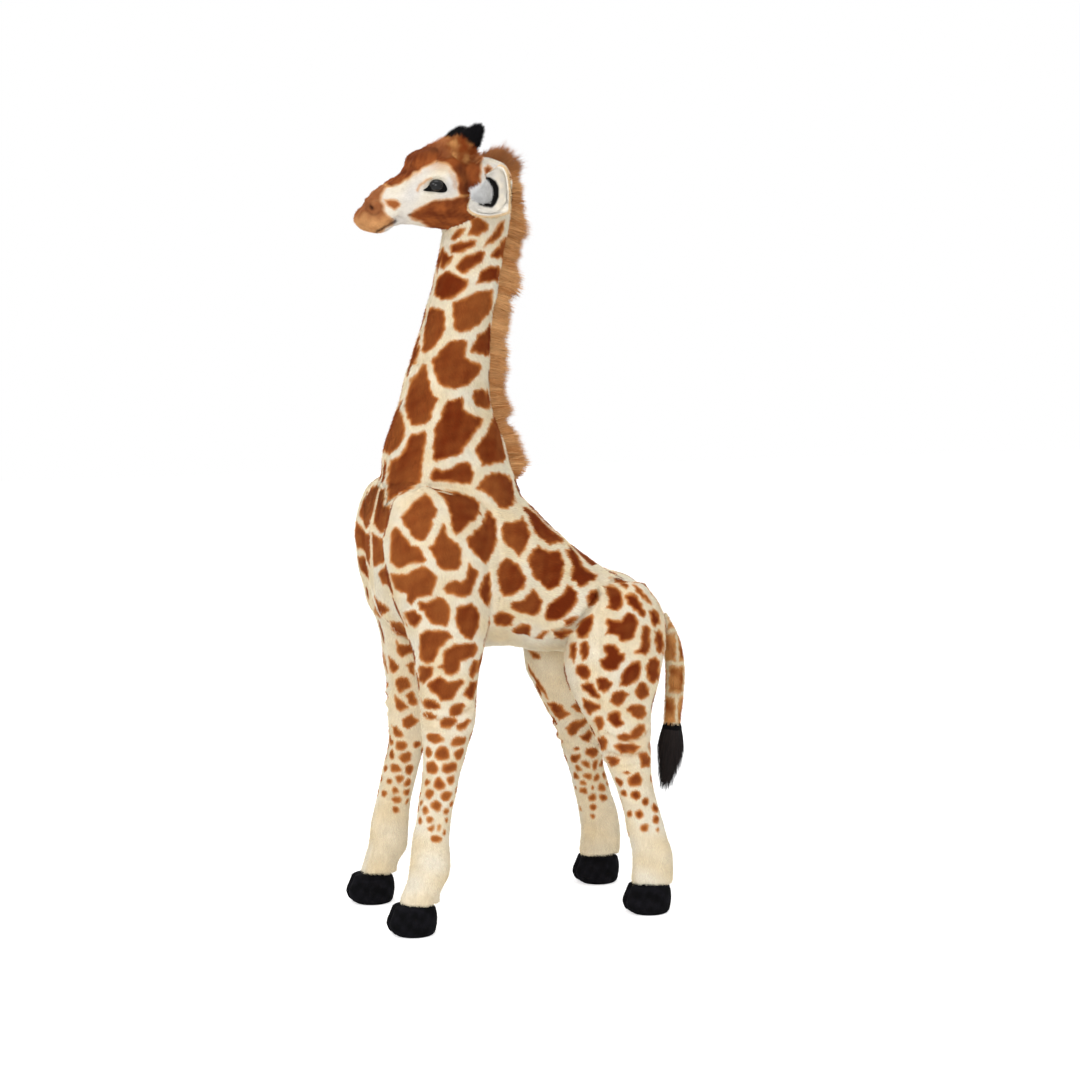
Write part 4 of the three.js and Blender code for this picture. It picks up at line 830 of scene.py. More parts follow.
def coat_patches(points, normals, name):
    """Depth inside the coat's patches in metres, the patch's tone, and normals turned to the left side."""
    moved = points + 0.0016 * wobble3(points, 0.03, 21) + 0.0007 * wobble3(points, 0.011, 41)
    depth, reached, number = patch_edge(moved)
    neck, torso, front = name == "neck", name == "torso", name.startswith("front_leg")
    x, y, z = points.T
    ripple = 0.6 * wobble2(points, 0.016, 43)
    at, straight = face_picture(points) + ripple, to_picture(points) + ripple

    # The near side's outlines, shown where the skin or its mirror image faces the photograph's place
    outward = np.column_stack([normals[:, 0] * np.where(x < 0, -1.0, 1.0), normals[:, 1:]])
    shown = step(0.16, 0.42, (outward * unit(VIEWER - mirror(points))).sum(1))
    direct = (normals * unit(VIEWER - points)).sum(1)
    shown *= np.where((x < 0) & (not torso), step(0.5, 0.34, direct), 1.0)
    shown *= step(734, 729, at[:, 1]) if front else step(773, 767, at[:, 1])
    drawn, drawn_number = outlined(at, OUTLINES)
    line = lerp(0.0036, 0.0066, np.clip((z - 0.55) / 0.3, 0, 1))
    if neck:
        line = lerp(0.0072, 0.0058, np.clip((z - 0.9) / 0.3, 0, 1))
    line = np.where(z < 0.4, lerp(0.0016, 0.0036, np.clip((z - 0.25) / 0.15, 0, 1)), line)
    depth = lerp(np.minimum(depth - line, reached), drawn + 0.001, shown)

    # The far side's outlines, where the photograph shows that side itself
    past = np.where((x < 0) & (not torso) & (not neck), step(0.3, 0.46, direct), 0)
    past = past * (step(742, 737, straight[:, 1]) if front else step(748, 743, straight[:, 1]))
    past = np.where(torso & (z < 0.6) & (np.abs(x) < 0.075), step(0.02, 0.2, direct), past)
    back = (x < 0) & (y > -0.02) & (z > 0.5) & (not neck)
    past = np.where(back, 0, past)
    depth = lerp(depth, outlined(straight, FAR_OUTLINES)[0] + 0.001, past)
    over_back = np.where(back, step(0.0, 0.12, direct), 0)
    depth = lerp(depth, outlined(straight, OUTLINES)[0] + 0.001, over_back)

    # The front of the chest
    across = np.stack([np.abs(x), z], -1) + 0.002 * wobble2(points, 0.03, 77)
    chest_depth = np.max([from_outline(across, outline) for outline in CHEST], axis=0)
    chest_depth = np.where(x > 0, np.maximum(drawn, np.minimum(chest_depth, -drawn - 0.005)), chest_depth)
    beside = (name == "front_leg_right") * step(0.125, 0.105, np.abs(x))
    breast = step(0.085, 0.065, np.abs(x)) if torso else beside
    breast = breast * step(-0.45, -0.68, normals[:, 1]) * step(0.555, 0.575, z)
    depth = lerp(depth, chest_depth, breast)
    tones = np.random.default_rng(5).uniform(-1, 1, patch_count + 1)
    shade = lerp(tones[np.minimum(number, patch_count)], tones[drawn_number], shown)
    return depth, shade, outward


def body_coat(points, normals, name):
    """The coat's colour on neck, torso and legs, with painted shade along the deep folds."""
    depth, shade, outward = coat_patches(points, normals, name)
    y, z = points[:, 1], points[:, 2]
    front = name.startswith("front_leg")
    chest = 0 if front else step(0.0, -0.1, y) * step(0.9, 0.76, z)
    pale = (0.26 if name == "neck" else 0.42 if front else 0.08) + 0.35 * chest * step(0.8, 0.7, z)
    pale = pale + 0.28 * step(0.42, 0.3, z) + 0.2 * shade + 0.08 * wobble(points, 0.021, 71)
    pale = pale + 0.12 * wobble(points, 0.06, 72)
    ground = mottled(CREAM, WARM_CREAM, points, 0.45, 0.35, 0.06, 75)
    ground = mixed(ground, WARM_CREAM, 0.5 * step(-0.1, -0.4, outward[:, 0]))
    colour = mixed(ground, TAN, step(-0.0022, 0.001, depth))
    colour = mixed(colour, ORANGE, step(-0.0004, 0.003, depth))
    patch = mixed(DARK_BROWN, PALE_BROWN, np.clip(pale, 0, 1))
    colour = mixed(colour, patch, step(0.001, 0.0062, depth))
    folded = mirror(points)
    # Painted shade: the coat darker along the deep folds
    for line in SHADED_FOLDS:
        crease_shade = np.exp(-((from_line(folded, line) / 0.0019) ** 2))
        colour = colour * (1 - crease_shade[:, None] * [0.26, 0.42, 0.55])
    return colour


# The face, as outlines in the picture; the right side is its mirror image
FACE = {
    "brow": [(372, 176), (386, 186), (392, 187), (399, 184), (406, 180), (413, 174), (420, 170), (428, 165),
             (436, 161.5), (444, 162.5), (451, 167), (455, 174), (458, 184), (458, 193), (462, 200),
             (470, 206), (478, 200), (480, 185), (481, 165), (484, 150), (480, 120), (420, 120), (380, 150)],
    "cheek": [(409, 215), (414, 211), (420, 207), (430, 202), (440, 199.5), (452, 199), (460, 196),
              (470, 196), (484, 212), (478, 222), (468, 227), (458, 236), (430, 228), (420, 221), (412, 219)],
    "muzzle": [(340, 168), (374, 178), (388, 186), (384, 190), (381, 196), (381, 202), (384, 205),
               (384, 211), (387, 216), (393, 220), (391, 225), (385, 228), (380, 236), (340, 245)],
    "spot": [(384, 200), (390, 199), (397, 201), (400, 204), (399, 207), (394, 209), (388, 206)],
    "nape": [(484, 168), (488, 165), (492, 168), (491, 174), (486, 176)],
    "behind": [(486, 184), (494, 180), (501, 186), (501, 197), (494, 203), (487, 197)],
    "below": [(482, 207), (492, 209), (500, 206), (508, 212), (500, 220), (488, 219)],
    "above": [(500, 165), (507, 169), (512, 178), (506, 184), (500, 176)],
}
# Dark lines on the face: places, half width in pixels and strength. The ring round the nostril is painted
# shade in its fold, and the wide line down beside the ear is painted shadow of the fold between face and ear
DARK_LINES = [
    ([(396, 220), (390, 224), (383, 228), (376, 232)], 1.3, 0.85),
    ([(370, 206), (372, 208)], 2.0, 0.9),
    # Painted shade in the fold round the nostril
    ([(367, 203), (366, 209), (369, 213), (374, 215), (378, 213)], 1.4, 0.3),
    # Painted shadow of the fold between face and ear
    ([(460, 168), (466, 182), (469, 198), (476, 213)], 4.5, 0.45),
    ([(433, 151), (440, 150), (444, 156)], 3.0, 0.45),
]
TAN_LINES = [
    ([(417, 191), (420, 185), (426, 180.5), (431, 178)], 1.5, 0.75),
    ([(404, 180), (413, 175.5), (420, 171.5)], 2.2, 0.5),
    ([(450, 171), (454, 179), (455, 188)], 2.0, 0.4),
]


def from_outline(points, outline):
    """Signed distance to an outline, positive inside."""
    corners = np.array(outline, float)
    inside = np.zeros(len(points), bool)
    for a, b in zip(corners, np.roll(corners, -1, axis=0)):
        crosses = (a[1] > points[:, 1]) != (b[1] > points[:, 1])
        with np.errstate(divide="ignore", invalid="ignore"):
            at = a[0] + (points[:, 1] - a[1]) / (b[1] - a[1]) * (b[0] - a[0])
        inside ^= crosses & (points[:, 0] < at)
    distance = from_line(points, np.concatenate([corners, corners[:1]]))
    return np.where(inside, distance, -distance)


def with_lines(colour, at, lines, tint):
    """A colour with soft lines of a tint drawn over it: each line's places, half width and strength."""
    for line, width, much in lines:
        colour = mixed(colour, tint, much * np.exp(-((from_line(at, line) / width) ** 2)))
    return colour


def face_coat(points, _normals=None):
    at = face_picture(points) + 0.5 * wobble2(points, 0.015, 91)
    u, v = at.T
    colour = mottled(WHITE, CREAM, points, 0.35, 0.4, 0.05, 93)
    # Painted shade: tan on the white below the brow, above the eye
    under_brow_shade = np.exp(-(((u - 441) / 18) ** 2)) * step(176, 162, v)
    colour = mixed(colour, TAN, 0.6 * np.clip(under_brow_shade, 0, 1))
    colour = with_lines(colour, at, TAN_LINES, TAN)
    tone = np.clip(0.4 + 0.34 * wobble(points, 0.03, 95) + 0.12 * wobble(points, 0.009, 96), 0, 1)
    tone = np.clip(tone + 0.6 * step(432, 408, u) * step(194, 204, v), 0, 1)
    coat = mixed(srgb(118, 54, 22), srgb(172, 94, 44), tone)
    crown = step(160, 146, v) * step(455, 435, u)
    coat = mixed(coat, srgb(104, 54, 30), 0.6 * crown)
    for name in ("brow", "cheek", "nape", "behind", "below", "above"):
        depth = from_outline(at, FACE[name])
        colour = mixed(colour, TAN, 0.85 * step(-2.2, 0.4, depth))
        colour = mixed(colour, coat, step(-0.8, 2.2, depth))
    depth = from_outline(at, FACE["spot"])
    colour = mixed(colour, TAN, 0.8 * step(-2.2, 0.2, depth))
    colour = mixed(colour, srgb(176, 102, 52), step(-0.4, 2, depth))
    depth = from_outline(at, FACE["muzzle"])
    chin = np.clip(step(208, 226, v) + 0.2 * wobble(points, 0.02, 97), 0, 1)
    nose = mixed(srgb(160, 96, 56), srgb(218, 158, 102), chin)
    nose = mixed(nose, srgb(150, 80, 36), 0.5 * step(366, 356, u) * step(224, 212, v))
    colour = mixed(colour, TAN, 0.8 * step(-2.6, 0.2, depth))
    colour = mixed(colour, nose, step(-0.8, 2.6, depth))
    colour = with_lines(colour, at, DARK_LINES, DARK_LINE)
    mouth_corner = np.exp(-((np.hypot(u - 410, (v - 215) * 1.2) / 1.9) ** 2))
    return mixed(colour, DARK_LINE, 0.75 * mouth_corner)


# Sewn parts: one object for each, cut out of the common skin, open rims capped inside
def groups_of(edges, count):
    parent = list(range(count))

    def root(i):
        while parent[i] != i:
            parent[i] = parent[parent[i]]
            i = parent[i]
        return i

    for a, b in edges:
        ra, rb = root(a), root(b)
        if ra != rb:
            parent[ra] = rb
    return [root(i) for i in range(count)]


def capped(verts, quads):
    a, b = quads.ravel(), np.roll(quads, -1, axis=1).ravel()
    pairs = np.stack([a, b], -1)
    _, inverse, counts = np.unique(np.sort(pairs, axis=1), axis=0, return_inverse=True, return_counts=True)
    rim = pairs[counts[inverse.ravel()] == 1]
    rim = rim[rim[:, 0] != rim[:, 1]]
    if not len(rim):
        return verts, np.zeros((0, 3), int)
    used, compact = np.unique(rim, return_inverse=True)
    compact = compact.reshape(rim.shape)
    group = np.array(groups_of(compact.tolist(), len(used)))
    centres, caps = [], []
    for g in np.unique(group):
        inside = group[compact[:, 0]] == g
        hub = len(verts) + len(centres)
        centres.append(verts[used[group == g]].mean(0))
        caps.append(np.column_stack([rim[inside][:, 1], rim[inside][:, 0], np.full(inside.sum(), hub)]))
    return np.concatenate([verts, centres]), np.concatenate(caps)


def coloured(mesh, colours):
    """Colours at a mesh's corners, one for each or one for all."""
    rows = np.ones((len(mesh.vertices), 4))
    rows[:, :3] = np.clip(colours, 0, 1)
    mesh.color_attributes.new("coat", "FLOAT_COLOR", "POINT").data.foreach_set("color", rows.ravel())


def part_of(name):
    faces = Q[label[Q[:, 0]] == LABELS.index(name)]
    used, inverse = np.unique(faces, return_inverse=True)
    return V[used].copy(), inverse.reshape(faces.shape), N[used].copy()


def divided(verts, quads):
    """Every face cut in four."""
    pairs = np.sort(np.stack([quads, np.roll(quads, -1, axis=1)], -1).reshape(-1, 2), axis=1)
    unique, inverse = np.unique(pairs, axis=0, return_inverse=True)
    mid = len(verts) + inverse.reshape(-1, 4)
    hub = len(verts) + len(unique) + np.arange(len(quads))
    more = np.concatenate([verts, verts[unique].mean(1), verts[quads].mean(1)])
    cut = [np.stack([quads[:, k], mid[:, k], hub, mid[:, k - 1]], -1) for k in range(4)]
    return more, np.concatenate(cut)


# Materials
def node_in(tree, kind, operation=None, **inputs):
    made = tree.nodes.new(f"ShaderNode{kind}")
    if operation:
        made.operation = operation
    for socket, value in inputs.items():
        made.inputs[socket.replace("_", " ")].default_value = value
    return made


def shader(name, roughness=0.8, **sockets):
    made = bpy.data.materials.new(name)
    made.use_nodes = True
    out = made.node_tree.nodes["Principled BSDF"]
    out.inputs["Roughness"].default_value = roughness
    for socket, value in sockets.items():
        out.inputs[socket.replace("_", " ")].default_value = value
    return made, made.node_tree, out


def noise_of(tree, scale):
    place = node_in(tree, "TexCoord")
    noise = node_in(tree, "TexNoise", Scale=scale, Detail=2.0)
    tree.links.new(place.outputs["Object"], noise.inputs["Vector"])
    return noise.outputs["Fac"]


def tinted(tree, colour_from, out, scale, low, high):
    """The colour, a little darker and lighter from place to place."""
    ramp = node_in(tree, "MapRange", From_Min=0.25, From_Max=0.75, To_Min=low, To_Max=high)
    scaled = node_in(tree, "VectorMath", "SCALE")
    tree.links.new(noise_of(tree, scale), ramp.inputs["Value"])
    tree.links.new(colour_from, scaled.inputs[0])
    tree.links.new(ramp.outputs["Result"], scaled.inputs["Scale"])
    tree.links.new(scaled.outputs["Vector"], out.inputs["Base Color"])


def bumped(tree, out, scale, distance):
    bump = node_in(tree, "Bump", Strength=0.5, Distance=distance)
    tree.links.new(noise_of(tree, scale), bump.inputs["Height"])
    tree.links.new(bump.outputs["Normal"], out.inputs["Normal"])


def coat_material(name, scale=60, low=0.9, high=1.08, roughness=0.85, bump=0.0, **sockets):
    """A material that takes its colour from the mesh."""
    made, tree, out = shader(name, roughness, **sockets)
    colour = tree.nodes.new("ShaderNodeAttribute")
    colour.attribute_name = "coat"
    tinted(tree, colour.outputs["Color"], out, scale, low, high)
    if bump:
        bumped(tree, out, 900, bump)
    return made


def plain_material(name, colour, scale=300, low=0.85, high=1.15, roughness=0.8, bump=0.0, **sockets):
    made, tree, out = shader(name, roughness, **sockets)
    value = tree.nodes.new("ShaderNodeRGB")
    value.outputs[0].default_value = (*colour, 1)
    tinted(tree, value.outputs[0], out, scale, low, high)
    if bump:
        bumped(tree, out, scale, bump)
    return made


PLUSH = coat_material("woven backing of the plush", bump=0.0008, Specular_IOR_Level=0.1)
PILE = coat_material("plush pile", scale=45, Specular_IOR_Level=0.12)
BLACK_PILE = coat_material("black pile", scale=200, low=0.7, high=1.3, Specular_IOR_Level=0.08)
HAIR = coat_material("long hair", scale=90, roughness=0.6, Specular_IOR_Level=0.2)


# Pile and hair: closed three-sided strands, coloured at their corners
TAPER, SHORTEST, LONGEST, RIDGE_HIGH, TONE_SPREAD = 0.6, 0.72, 1.15, 0.8, 0.06
CORNERS = ((0, 1), (1, 2), (2, 0))


def strands(name, roots, normals, lie, colours, length, width, lean=1.3, steps=1, droop=None, frizz=0.22,
            seed=1, flat=0.7, base=0.78, tip=1.1, body="body", slot="printed_plush", material=PILE,
            sink=0.001, shaded=None):
    """Strands from their roots, the way they lie. Base darkens the colour towards the root, as painted shade,
    and tip lightens it towards the tip, as painted light; flat evens the shading.
    """
    local = np.random.default_rng(seed)
    n = len(roots)
    each = np.broadcast_to(length, n) * local.uniform(SHORTEST, LONGEST, n)
    heading = unit(normals + lean * lie + frizz * local.normal(size=(n, 3)))
    side = unit(np.cross(heading, normals) + 1e-9)
    top = unit(np.cross(side, heading))
    at = roots - sink * normals
    rows, outs, shades = [], [], []
    for s in range(steps):
        half = width / 2 * (1 - TAPER * s / steps)
        rows += [at + side * half, at - side * half, at + top * half * RIDGE_HIGH]
        outs += [side, -side, top]
        # Painted shade darkens each strand towards its root, painted light brightens it towards the tip
        shades += [base + (tip - base) * s / steps] * 3
        if droop is not None and s:
            heading = unit(heading + droop)
        at = at + heading * (each / steps)[:, None]
    rows.append(at)
    outs.append(top)
    shades.append(tip)
    per = len(rows)
    lit = normals if shaded is None else shaded
    softened = flat * lit[:, None, :] + (1 - flat) * np.stack(outs, 1)
    first = np.arange(n)[:, None] * per
    quads = [np.zeros((0, 4), int)]
    for s in range(steps - 1):
        quads += [first + np.array([3 * s + a, 3 * s + b, 3 * s + 3 + b, 3 * s + 3 + a]) for a, b in CORNERS]
    end, low = per - 1, 3 * (steps - 1)
    tris = [first + np.array([0, 2, 1])] + [first + np.array([low + a, low + b, end]) for a, b in CORNERS]
    mesh = mesh_of(name, np.stack(rows, 1).reshape(-1, 3), [np.concatenate(quads), np.concatenate(tris)])
    tone = local.normal(1, TONE_SPREAD, n)[:, None, None] * np.array(shades)[None, :, None]
    coloured(mesh, (np.broadcast_to(colours, (n, 3))[:, None, :] * tone).reshape(-1, 3))
    mesh.normals_split_custom_set_from_vertices(unit(softened).reshape(-1, 3))
    mesh.materials.append(material)
    made = object_of(name, mesh)
    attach(made, body)
    return made


def scattered(verts, quads, normals, count, seed):
    """Places spread evenly over faces, with the skin's direction there, and the faces' area."""
    local = np.random.default_rng(seed)
    tris = np.concatenate([quads[:, [0, 1, 2]], quads[:, [0, 2, 3]]])
    a, b, c = (verts[tris[:, k]] for k in range(3))
    area = np.linalg.norm(np.cross(b - a, c - a), axis=1)
    pick = tris[np.searchsorted(np.cumsum(area) / area.sum(), local.random(count))]
    r1, r2 = np.sqrt(local.random(count)), local.random(count)
    w = np.stack([1 - r1, r1 * (1 - r2), r1 * r2], -1)[:, :, None]
    return (verts[pick] * w).sum(1), unit((normals[pick] * w).sum(1)), area.sum() / 2


def along_skin(direction, normals):
    direction = np.broadcast_to(direction, normals.shape)
    return unit(direction - (direction * normals).sum(1, keepdims=True) * normals)


# The most strands in one object, and strands to the square metre
MOST = 49000
PER_AREA = 340000


def pile_over(name, verts, quads, normals, paint, flow, length, width, density=1.0, seed=1, keep=None,
              sided=False, **more):
    """Pile over faces, in as many objects as it takes; paint gives its colour and flow the way it lies."""
    area = scattered(verts, quads, normals, 10, seed)[2]
    total = int(area * PER_AREA * density)
    lots = max(1, math.ceil(total / MOST))
    for lot in range(lots):
        roots, out, _ = scattered(verts, quads, normals, total // lots, seed * 100 + lot)
        if keep is not None:
            chosen = keep(roots)
            roots, out = roots[chosen], out[chosen]
        lie = along_skin(flow(roots), out)
        tips = roots + lie * (0.4 * length)
        colours = paint(tips, out) if sided else paint(tips)
        suffix = f"_{lot + 1}" if lots > 1 else ""
        strands(f"{name}{suffix}", roots, out, lie, colours, length, width, seed=seed * 100 + lot, **more)


def flow_down(points):
    return np.array([0.0, 0.25, -1.0]) + 0.25 * wobble3(points, 0.12, 131)


def flow_back(points):
    return np.array([0.0, 1.0, -0.45]) + 0.25 * wobble3(points, 0.12, 133)


def flow_head(points):
    return np.array([0.0, 1.0, -0.25]) + 0.18 * wobble3(points, 0.05, 135)


# The eye: the way it looks, its middle on the skin, and its outline in the picture
EYE_OUT = np.array([0.9648, -0.2627, 0.0124])
EYE_BACK = unit(np.array([0, 1.0, 0]) - EYE_OUT[1] * EYE_OUT)
EYE_UP = np.cross(EYE_OUT, EYE_BACK)
EYE_AT = np.array([0.055633, -0.177935, 1.244748])
EYE_PROUD, EYE_ROOM = 0.004, 0.04
EYE_OUTLINE = [
    (422.5, 190.5), (427, 187.5), (430, 184), (433, 181), (437, 179), (441, 180), (444.5, 183), (447, 187),
    (447.5, 190.5), (445, 192.4), (441, 192.6), (436, 192), (429, 191.3),
]


def on_eye_plane(u, v):
    """Where the line of sight to a place in the picture meets the eye's plane."""
    ray = ray_of(u, v)
    reach = ((EYE_AT + EYE_PROUD * EYE_OUT - VIEWER) @ EYE_OUT) / (ray @ EYE_OUT)
    at = VIEWER + reach * ray - EYE_AT
    return at @ EYE_BACK, at @ EYE_UP


EYE_FLAT = [on_eye_plane(u, v) for u, v in EYE_OUTLINE]


def almond(points):
    """How far inside the eye's outline, in metres, below nothing outside."""
    from_eye = mirror(points) - EYE_AT
    flat = np.stack([from_eye @ EYE_BACK, from_eye @ EYE_UP], -1)
    return np.where(np.linalg.norm(from_eye, axis=1) < EYE_ROOM, from_outline(flat, EYE_FLAT), -1.0)


# The head's skin is cut finer, then modelled by the lines of the face: places, height and width
FACE_FORMS = [
    ([(418, 158), (424, 155), (432, 153)], 0.0066, 0.011),
    ([(404, 172), (396, 178)], -0.0022, 0.009),
    ([(424, 181), (430, 177), (438, 175), (446, 177), (451, 183)], 0.0042, 0.006),
    ([(424, 194), (432, 196), (441, 196), (449, 193)], 0.0018, 0.004),
    ([(397, 218), (390, 223), (383, 227), (376, 231)], -0.0045, 0.0026),
    ([(395, 214), (386, 219), (378, 222), (370, 224)], 0.0024, 0.005),
    ([(392, 228), (384, 231), (376, 234)], 0.002, 0.004),
    ([(362, 221), (372, 227), (384, 228), (395, 224)], 0.0026, 0.009),
    ([(374, 190), (385, 183), (396, 175)], 0.0014, 0.01),
    ([(371, 207), (372, 208)], -0.005, 0.0028),
    ([(368, 203), (366, 208), (369, 213), (373, 215), (378, 213)], -0.0012, 0.0026),
    ([(371, 200), (376, 203), (380, 208)], 0.0022, 0.004),
    ([(378, 193), (387, 187), (396, 181)], 0.0042, 0.012),
    ([(364, 213), (372, 221), (382, 226)], 0.0034, 0.009),
    ([(388, 187), (397, 186), (406, 180), (416, 172), (428, 165), (437, 162), (446, 164), (453, 170),
      (457, 180), (457, 192)], -0.0011, 0.0022),
    ([(466, 166), (468, 180), (467, 195), (470, 208)], -0.0028, 0.005),
    ([(412, 222), (430, 228), (448, 230)], 0.0015, 0.008),
    ([(398, 205), (406, 206)], -0.0022, 0.009),
    ([(447, 212), (452, 214)], 0.0028, 0.014),
]


SOCKET_DEEP, SOCKET_WIDE = 0.0032, 0.021


def sculpted_head():
    verts, quads, _ = part_of("head")
    verts, quads = divided(verts, quads)
    corners = np.stack([quads, np.roll(quads, -1, axis=1)], -1).reshape(-1, 2)
    edges = np.unique(np.sort(corners, axis=1), axis=0)
    open_rim = np.bincount(quads.ravel(), minlength=len(verts)) < 3
    verts = smoothed(verts, edges, np.where(open_rim, 0.0, 0.5), 2)
    folded = mirror(verts)
    push = np.zeros(len(verts))
    for pixels, height, width in FACE_FORMS:
        push += height * np.exp(-((from_line(folded, on_skin(pixels)) / width) ** 2))
    from_eye = np.linalg.norm(folded - EYE_AT - EYE_PROUD * EYE_OUT, axis=1)
    push -= SOCKET_DEEP * np.exp(-((from_eye / SOCKET_WIDE) ** 2))
    push += 0.0004 * wobble(verts, 0.012, 151)
    verts = verts + normals_of(verts, quads) * np.where(open_rim, 0.0, push)[:, None]
    return verts, quads, normals_of(verts, quads)


def paint_for(name):
    return lambda points, normals: body_coat(points, normals, name)


def cad_name(name, layer):
    """The name that a part's skin or filling has in the solids."""
    stem, _, side_name = name.rpartition("_")
    return f"{stem}_{layer}_{side_name}" if stem else f"{name}_{layer}"


def outside_eye(points):
    return almond(points) < -0.0004


# How full the padded pieces are, and how far the backing under the pile is darkened, as painted shade deep in
# the pile
FILL, BACKING_SHADE = 0.85, 0.8
# Of each part's pile: the way it lies, its length and width, and the rest of its look
PILES = {
    "head": (flow_head, 0.0048, 0.0008,
             {"density": 1.7, "lean": 1.6, "frizz": 0.2, "flat": 0.78, "keep": outside_eye}),
    "neck": (flow_down, 0.0068, 0.0011, {"lean": 1.6, "sided": True}),
    "torso": (flow_back, 0.0068, 0.0011, {"lean": 1.6, "sided": True}),
    "leg": (flow_down, 0.006, 0.001, {"lean": 1.7, "density": 1.12, "sided": True}),
}
for index, name in enumerate(LABELS):
    if name == "head":
        verts, quads, normals = sculpted_head()
        paint = face_coat
    else:
        verts, quads, normals = part_of(name)
        paint = paint_for(name)
    closed, caps = capped(verts, quads)
    mesh = mesh_of(f"{name}_plush", closed, [quads, caps])
    shading = np.concatenate([normals, np.zeros((len(closed) - len(verts), 3))])
    # The backing darkened as painted shade under the pile
    coloured(mesh, BACKING_SHADE * paint(closed, shading))
    mesh.normals_split_custom_set_from_vertices(shading)
    mesh.materials.append(PLUSH)
    piece = object_of(f"{name}_plush", mesh)
    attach(piece, "body")
    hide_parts(cad_name(name, "skin"), cad_name(name, "filling"))
    flow, length, width, look = PILES[name if name in PILES else "leg"]
    pile_over(f"{name}_pile", verts, quads, normals, paint, flow, length, width, seed=7 + index, **look)


# Round pieces turned or swept along a line
def swept(centres, radii, axis=(1.0, 0, 0), sides=28):
    """A closed tube of round rings; the axis lies roughly across it."""
    centres, radii = np.asarray(centres, float), np.asarray(radii, float)
    ahead = unit(np.gradient(centres, axis=0))
    first = np.asarray(axis, float)
    across = unit(first - (ahead @ first)[:, None] * ahead)
    deep = np.cross(ahead, across)
    turn = (np.arange(sides) / sides * 2 * np.pi)[None, :, None]
    ring = np.cos(turn) * across[:, None] + np.sin(turn) * deep[:, None]
    return tube(centres[:, None] + radii[:, None, None] * ring)


def solid(name, verts, faces, colours, material, body, slot, replaced, padded=True):
    mesh = mesh_of(name, verts, faces)
    coloured(mesh, colours)
    mesh.materials.append(material)
    made = object_of(name, mesh)
    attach(made, body)
    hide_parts(*replaced)


def always(value):
    """The same value at all points."""
    return lambda points: np.broadcast_to(value, points.shape)


# Horns: a brown stalk and a black brushed tip
STALK_ROOT = np.array([0.034, -0.128827, 1.301115])
HORN_WAY = np.array([0.16931, 0.61568, 0.7696])
HORN_AXIS = (0, 0.8, -0.6)
STALK_LOW, STALK_HIGH, STALK_WIDE, STALK_NARROW = -0.014, 0.0185, 0.0225, 0.0155
TIP_START, TIP_LONG, TIP_RADIUS = 0.0175, 0.036, 0.0165
TIP_AT, TIP_SHARES = [0, 0.06, 0.25, 0.5, 0.75, 0.9, 1], [0.6, 0.95, 1.0, 0.84, 0.62, 0.46, 0.2]


def stalk_colour(points):
    return mottled(BROWN, TAN, points, 0.25, 0.5, 0.02, 161)


for side_name, side in SIDES:
    flip = np.array([side, 1, 1])
    t = np.linspace(STALK_LOW, STALK_HIGH, 14)
    radii = lerp(STALK_WIDE, STALK_NARROW, step(STALK_LOW, 0.02, t))
    radii[-3:] *= [0.96, 0.8, 0.45]
    verts, faces = swept(STALK_ROOT * flip + t[:, None] * HORN_WAY * flip, radii, HORN_AXIS)
    # The stalk's backing darkened, as painted shade under its pile
    backing = 0.7 * mottled(BROWN, TAN, verts, 0.3, 0.4, 0.02, 161)
    solid(f"horn_stalk_{side_name}_plush", verts, faces, backing, PLUSH, "body", "brown_plush",
          (f"horn_stalk_{side_name}",))
    pile_over(f"horn_stalk_{side_name}_pile", verts, faces[0], normals_of(verts, faces[0]), stalk_colour,
              always(HORN_WAY * flip), length=0.013, width=0.001, density=3.4, seed=31 + side,
              slot="brown_plush", lean=0.9, frizz=0.5)
    t = np.linspace(0, TIP_LONG, 20)
    radii = TIP_RADIUS * np.interp(t / TIP_LONG, TIP_AT, TIP_SHARES)
    start = STALK_ROOT + TIP_START * HORN_WAY
    verts, faces = swept(start * flip + t[:, None] * HORN_WAY * flip, radii, HORN_AXIS)
    solid(f"horn_tip_{side_name}_plush", verts, faces, BLACK, BLACK_PILE, "body", "black_plush",
          (f"horn_tip_{side_name}",))
    pile_over(f"horn_tip_{side_name}_pile", verts, faces[0], normals_of(verts, faces[0]), always(SOFT_BLACK),
              always(HORN_WAY * flip), length=0.0085, width=0.0009, density=2.6, seed=41 + side,
              slot="black_plush", material=BLACK_PILE, lean=1.0, frizz=0.4)

# Brushed hair on the forehead, in front of and between the horns
FOREHEAD_HALF, FOREHEAD_FRONT, FOREHEAD_FULLEST, FOREHEAD_BACK, ABOVE_HEAD = 0.05, -0.18, -0.135, -0.1, 1.45
n = 9000
local = np.random.default_rng(45)
spots = np.column_stack([
    local.uniform(-FOREHEAD_HALF, FOREHEAD_HALF, n),
    local.triangular(FOREHEAD_FRONT, FOREHEAD_FULLEST, FOREHEAD_BACK, n),
])
found = [surface.ray_cast(Vector((x, y, ABOVE_HEAD)), Vector((0, 0, -1))) for x, y in spots]
roots = np.array([one[0] for one in found if one[0] is not None])
upward = np.array([one[1] for one in found if one[0] is not None])
upward *= np.sign(upward[:, 2:])
brushed = along_skin(np.array([0.0, 0.85, 0.6]), upward)
tone = 0.5 + 0.08 * wobble(roots, 0.03, 47) + 0.36 * local.normal(size=len(roots))
tone = np.clip(tone - 0.5 * step(-0.148, -0.172, roots[:, 1]), 0, 1)
hair_colour = mixed(srgb(146, 76, 34), srgb(198, 126, 70), tone)
reach = 0.019 * (0.45 + 0.55 * step(-0.175, -0.152, roots[:, 1]))
strands("forehead_hair", roots, upward, brushed, hair_colour, length=reach, width=0.0009, steps=3,
        droop=np.array([0, 0.12, -0.02]), frizz=0.3, seed=46, flat=0.6, lean=1.2, slot="brown_fur",
        material=HAIR, base=0.75, tip=1.1)
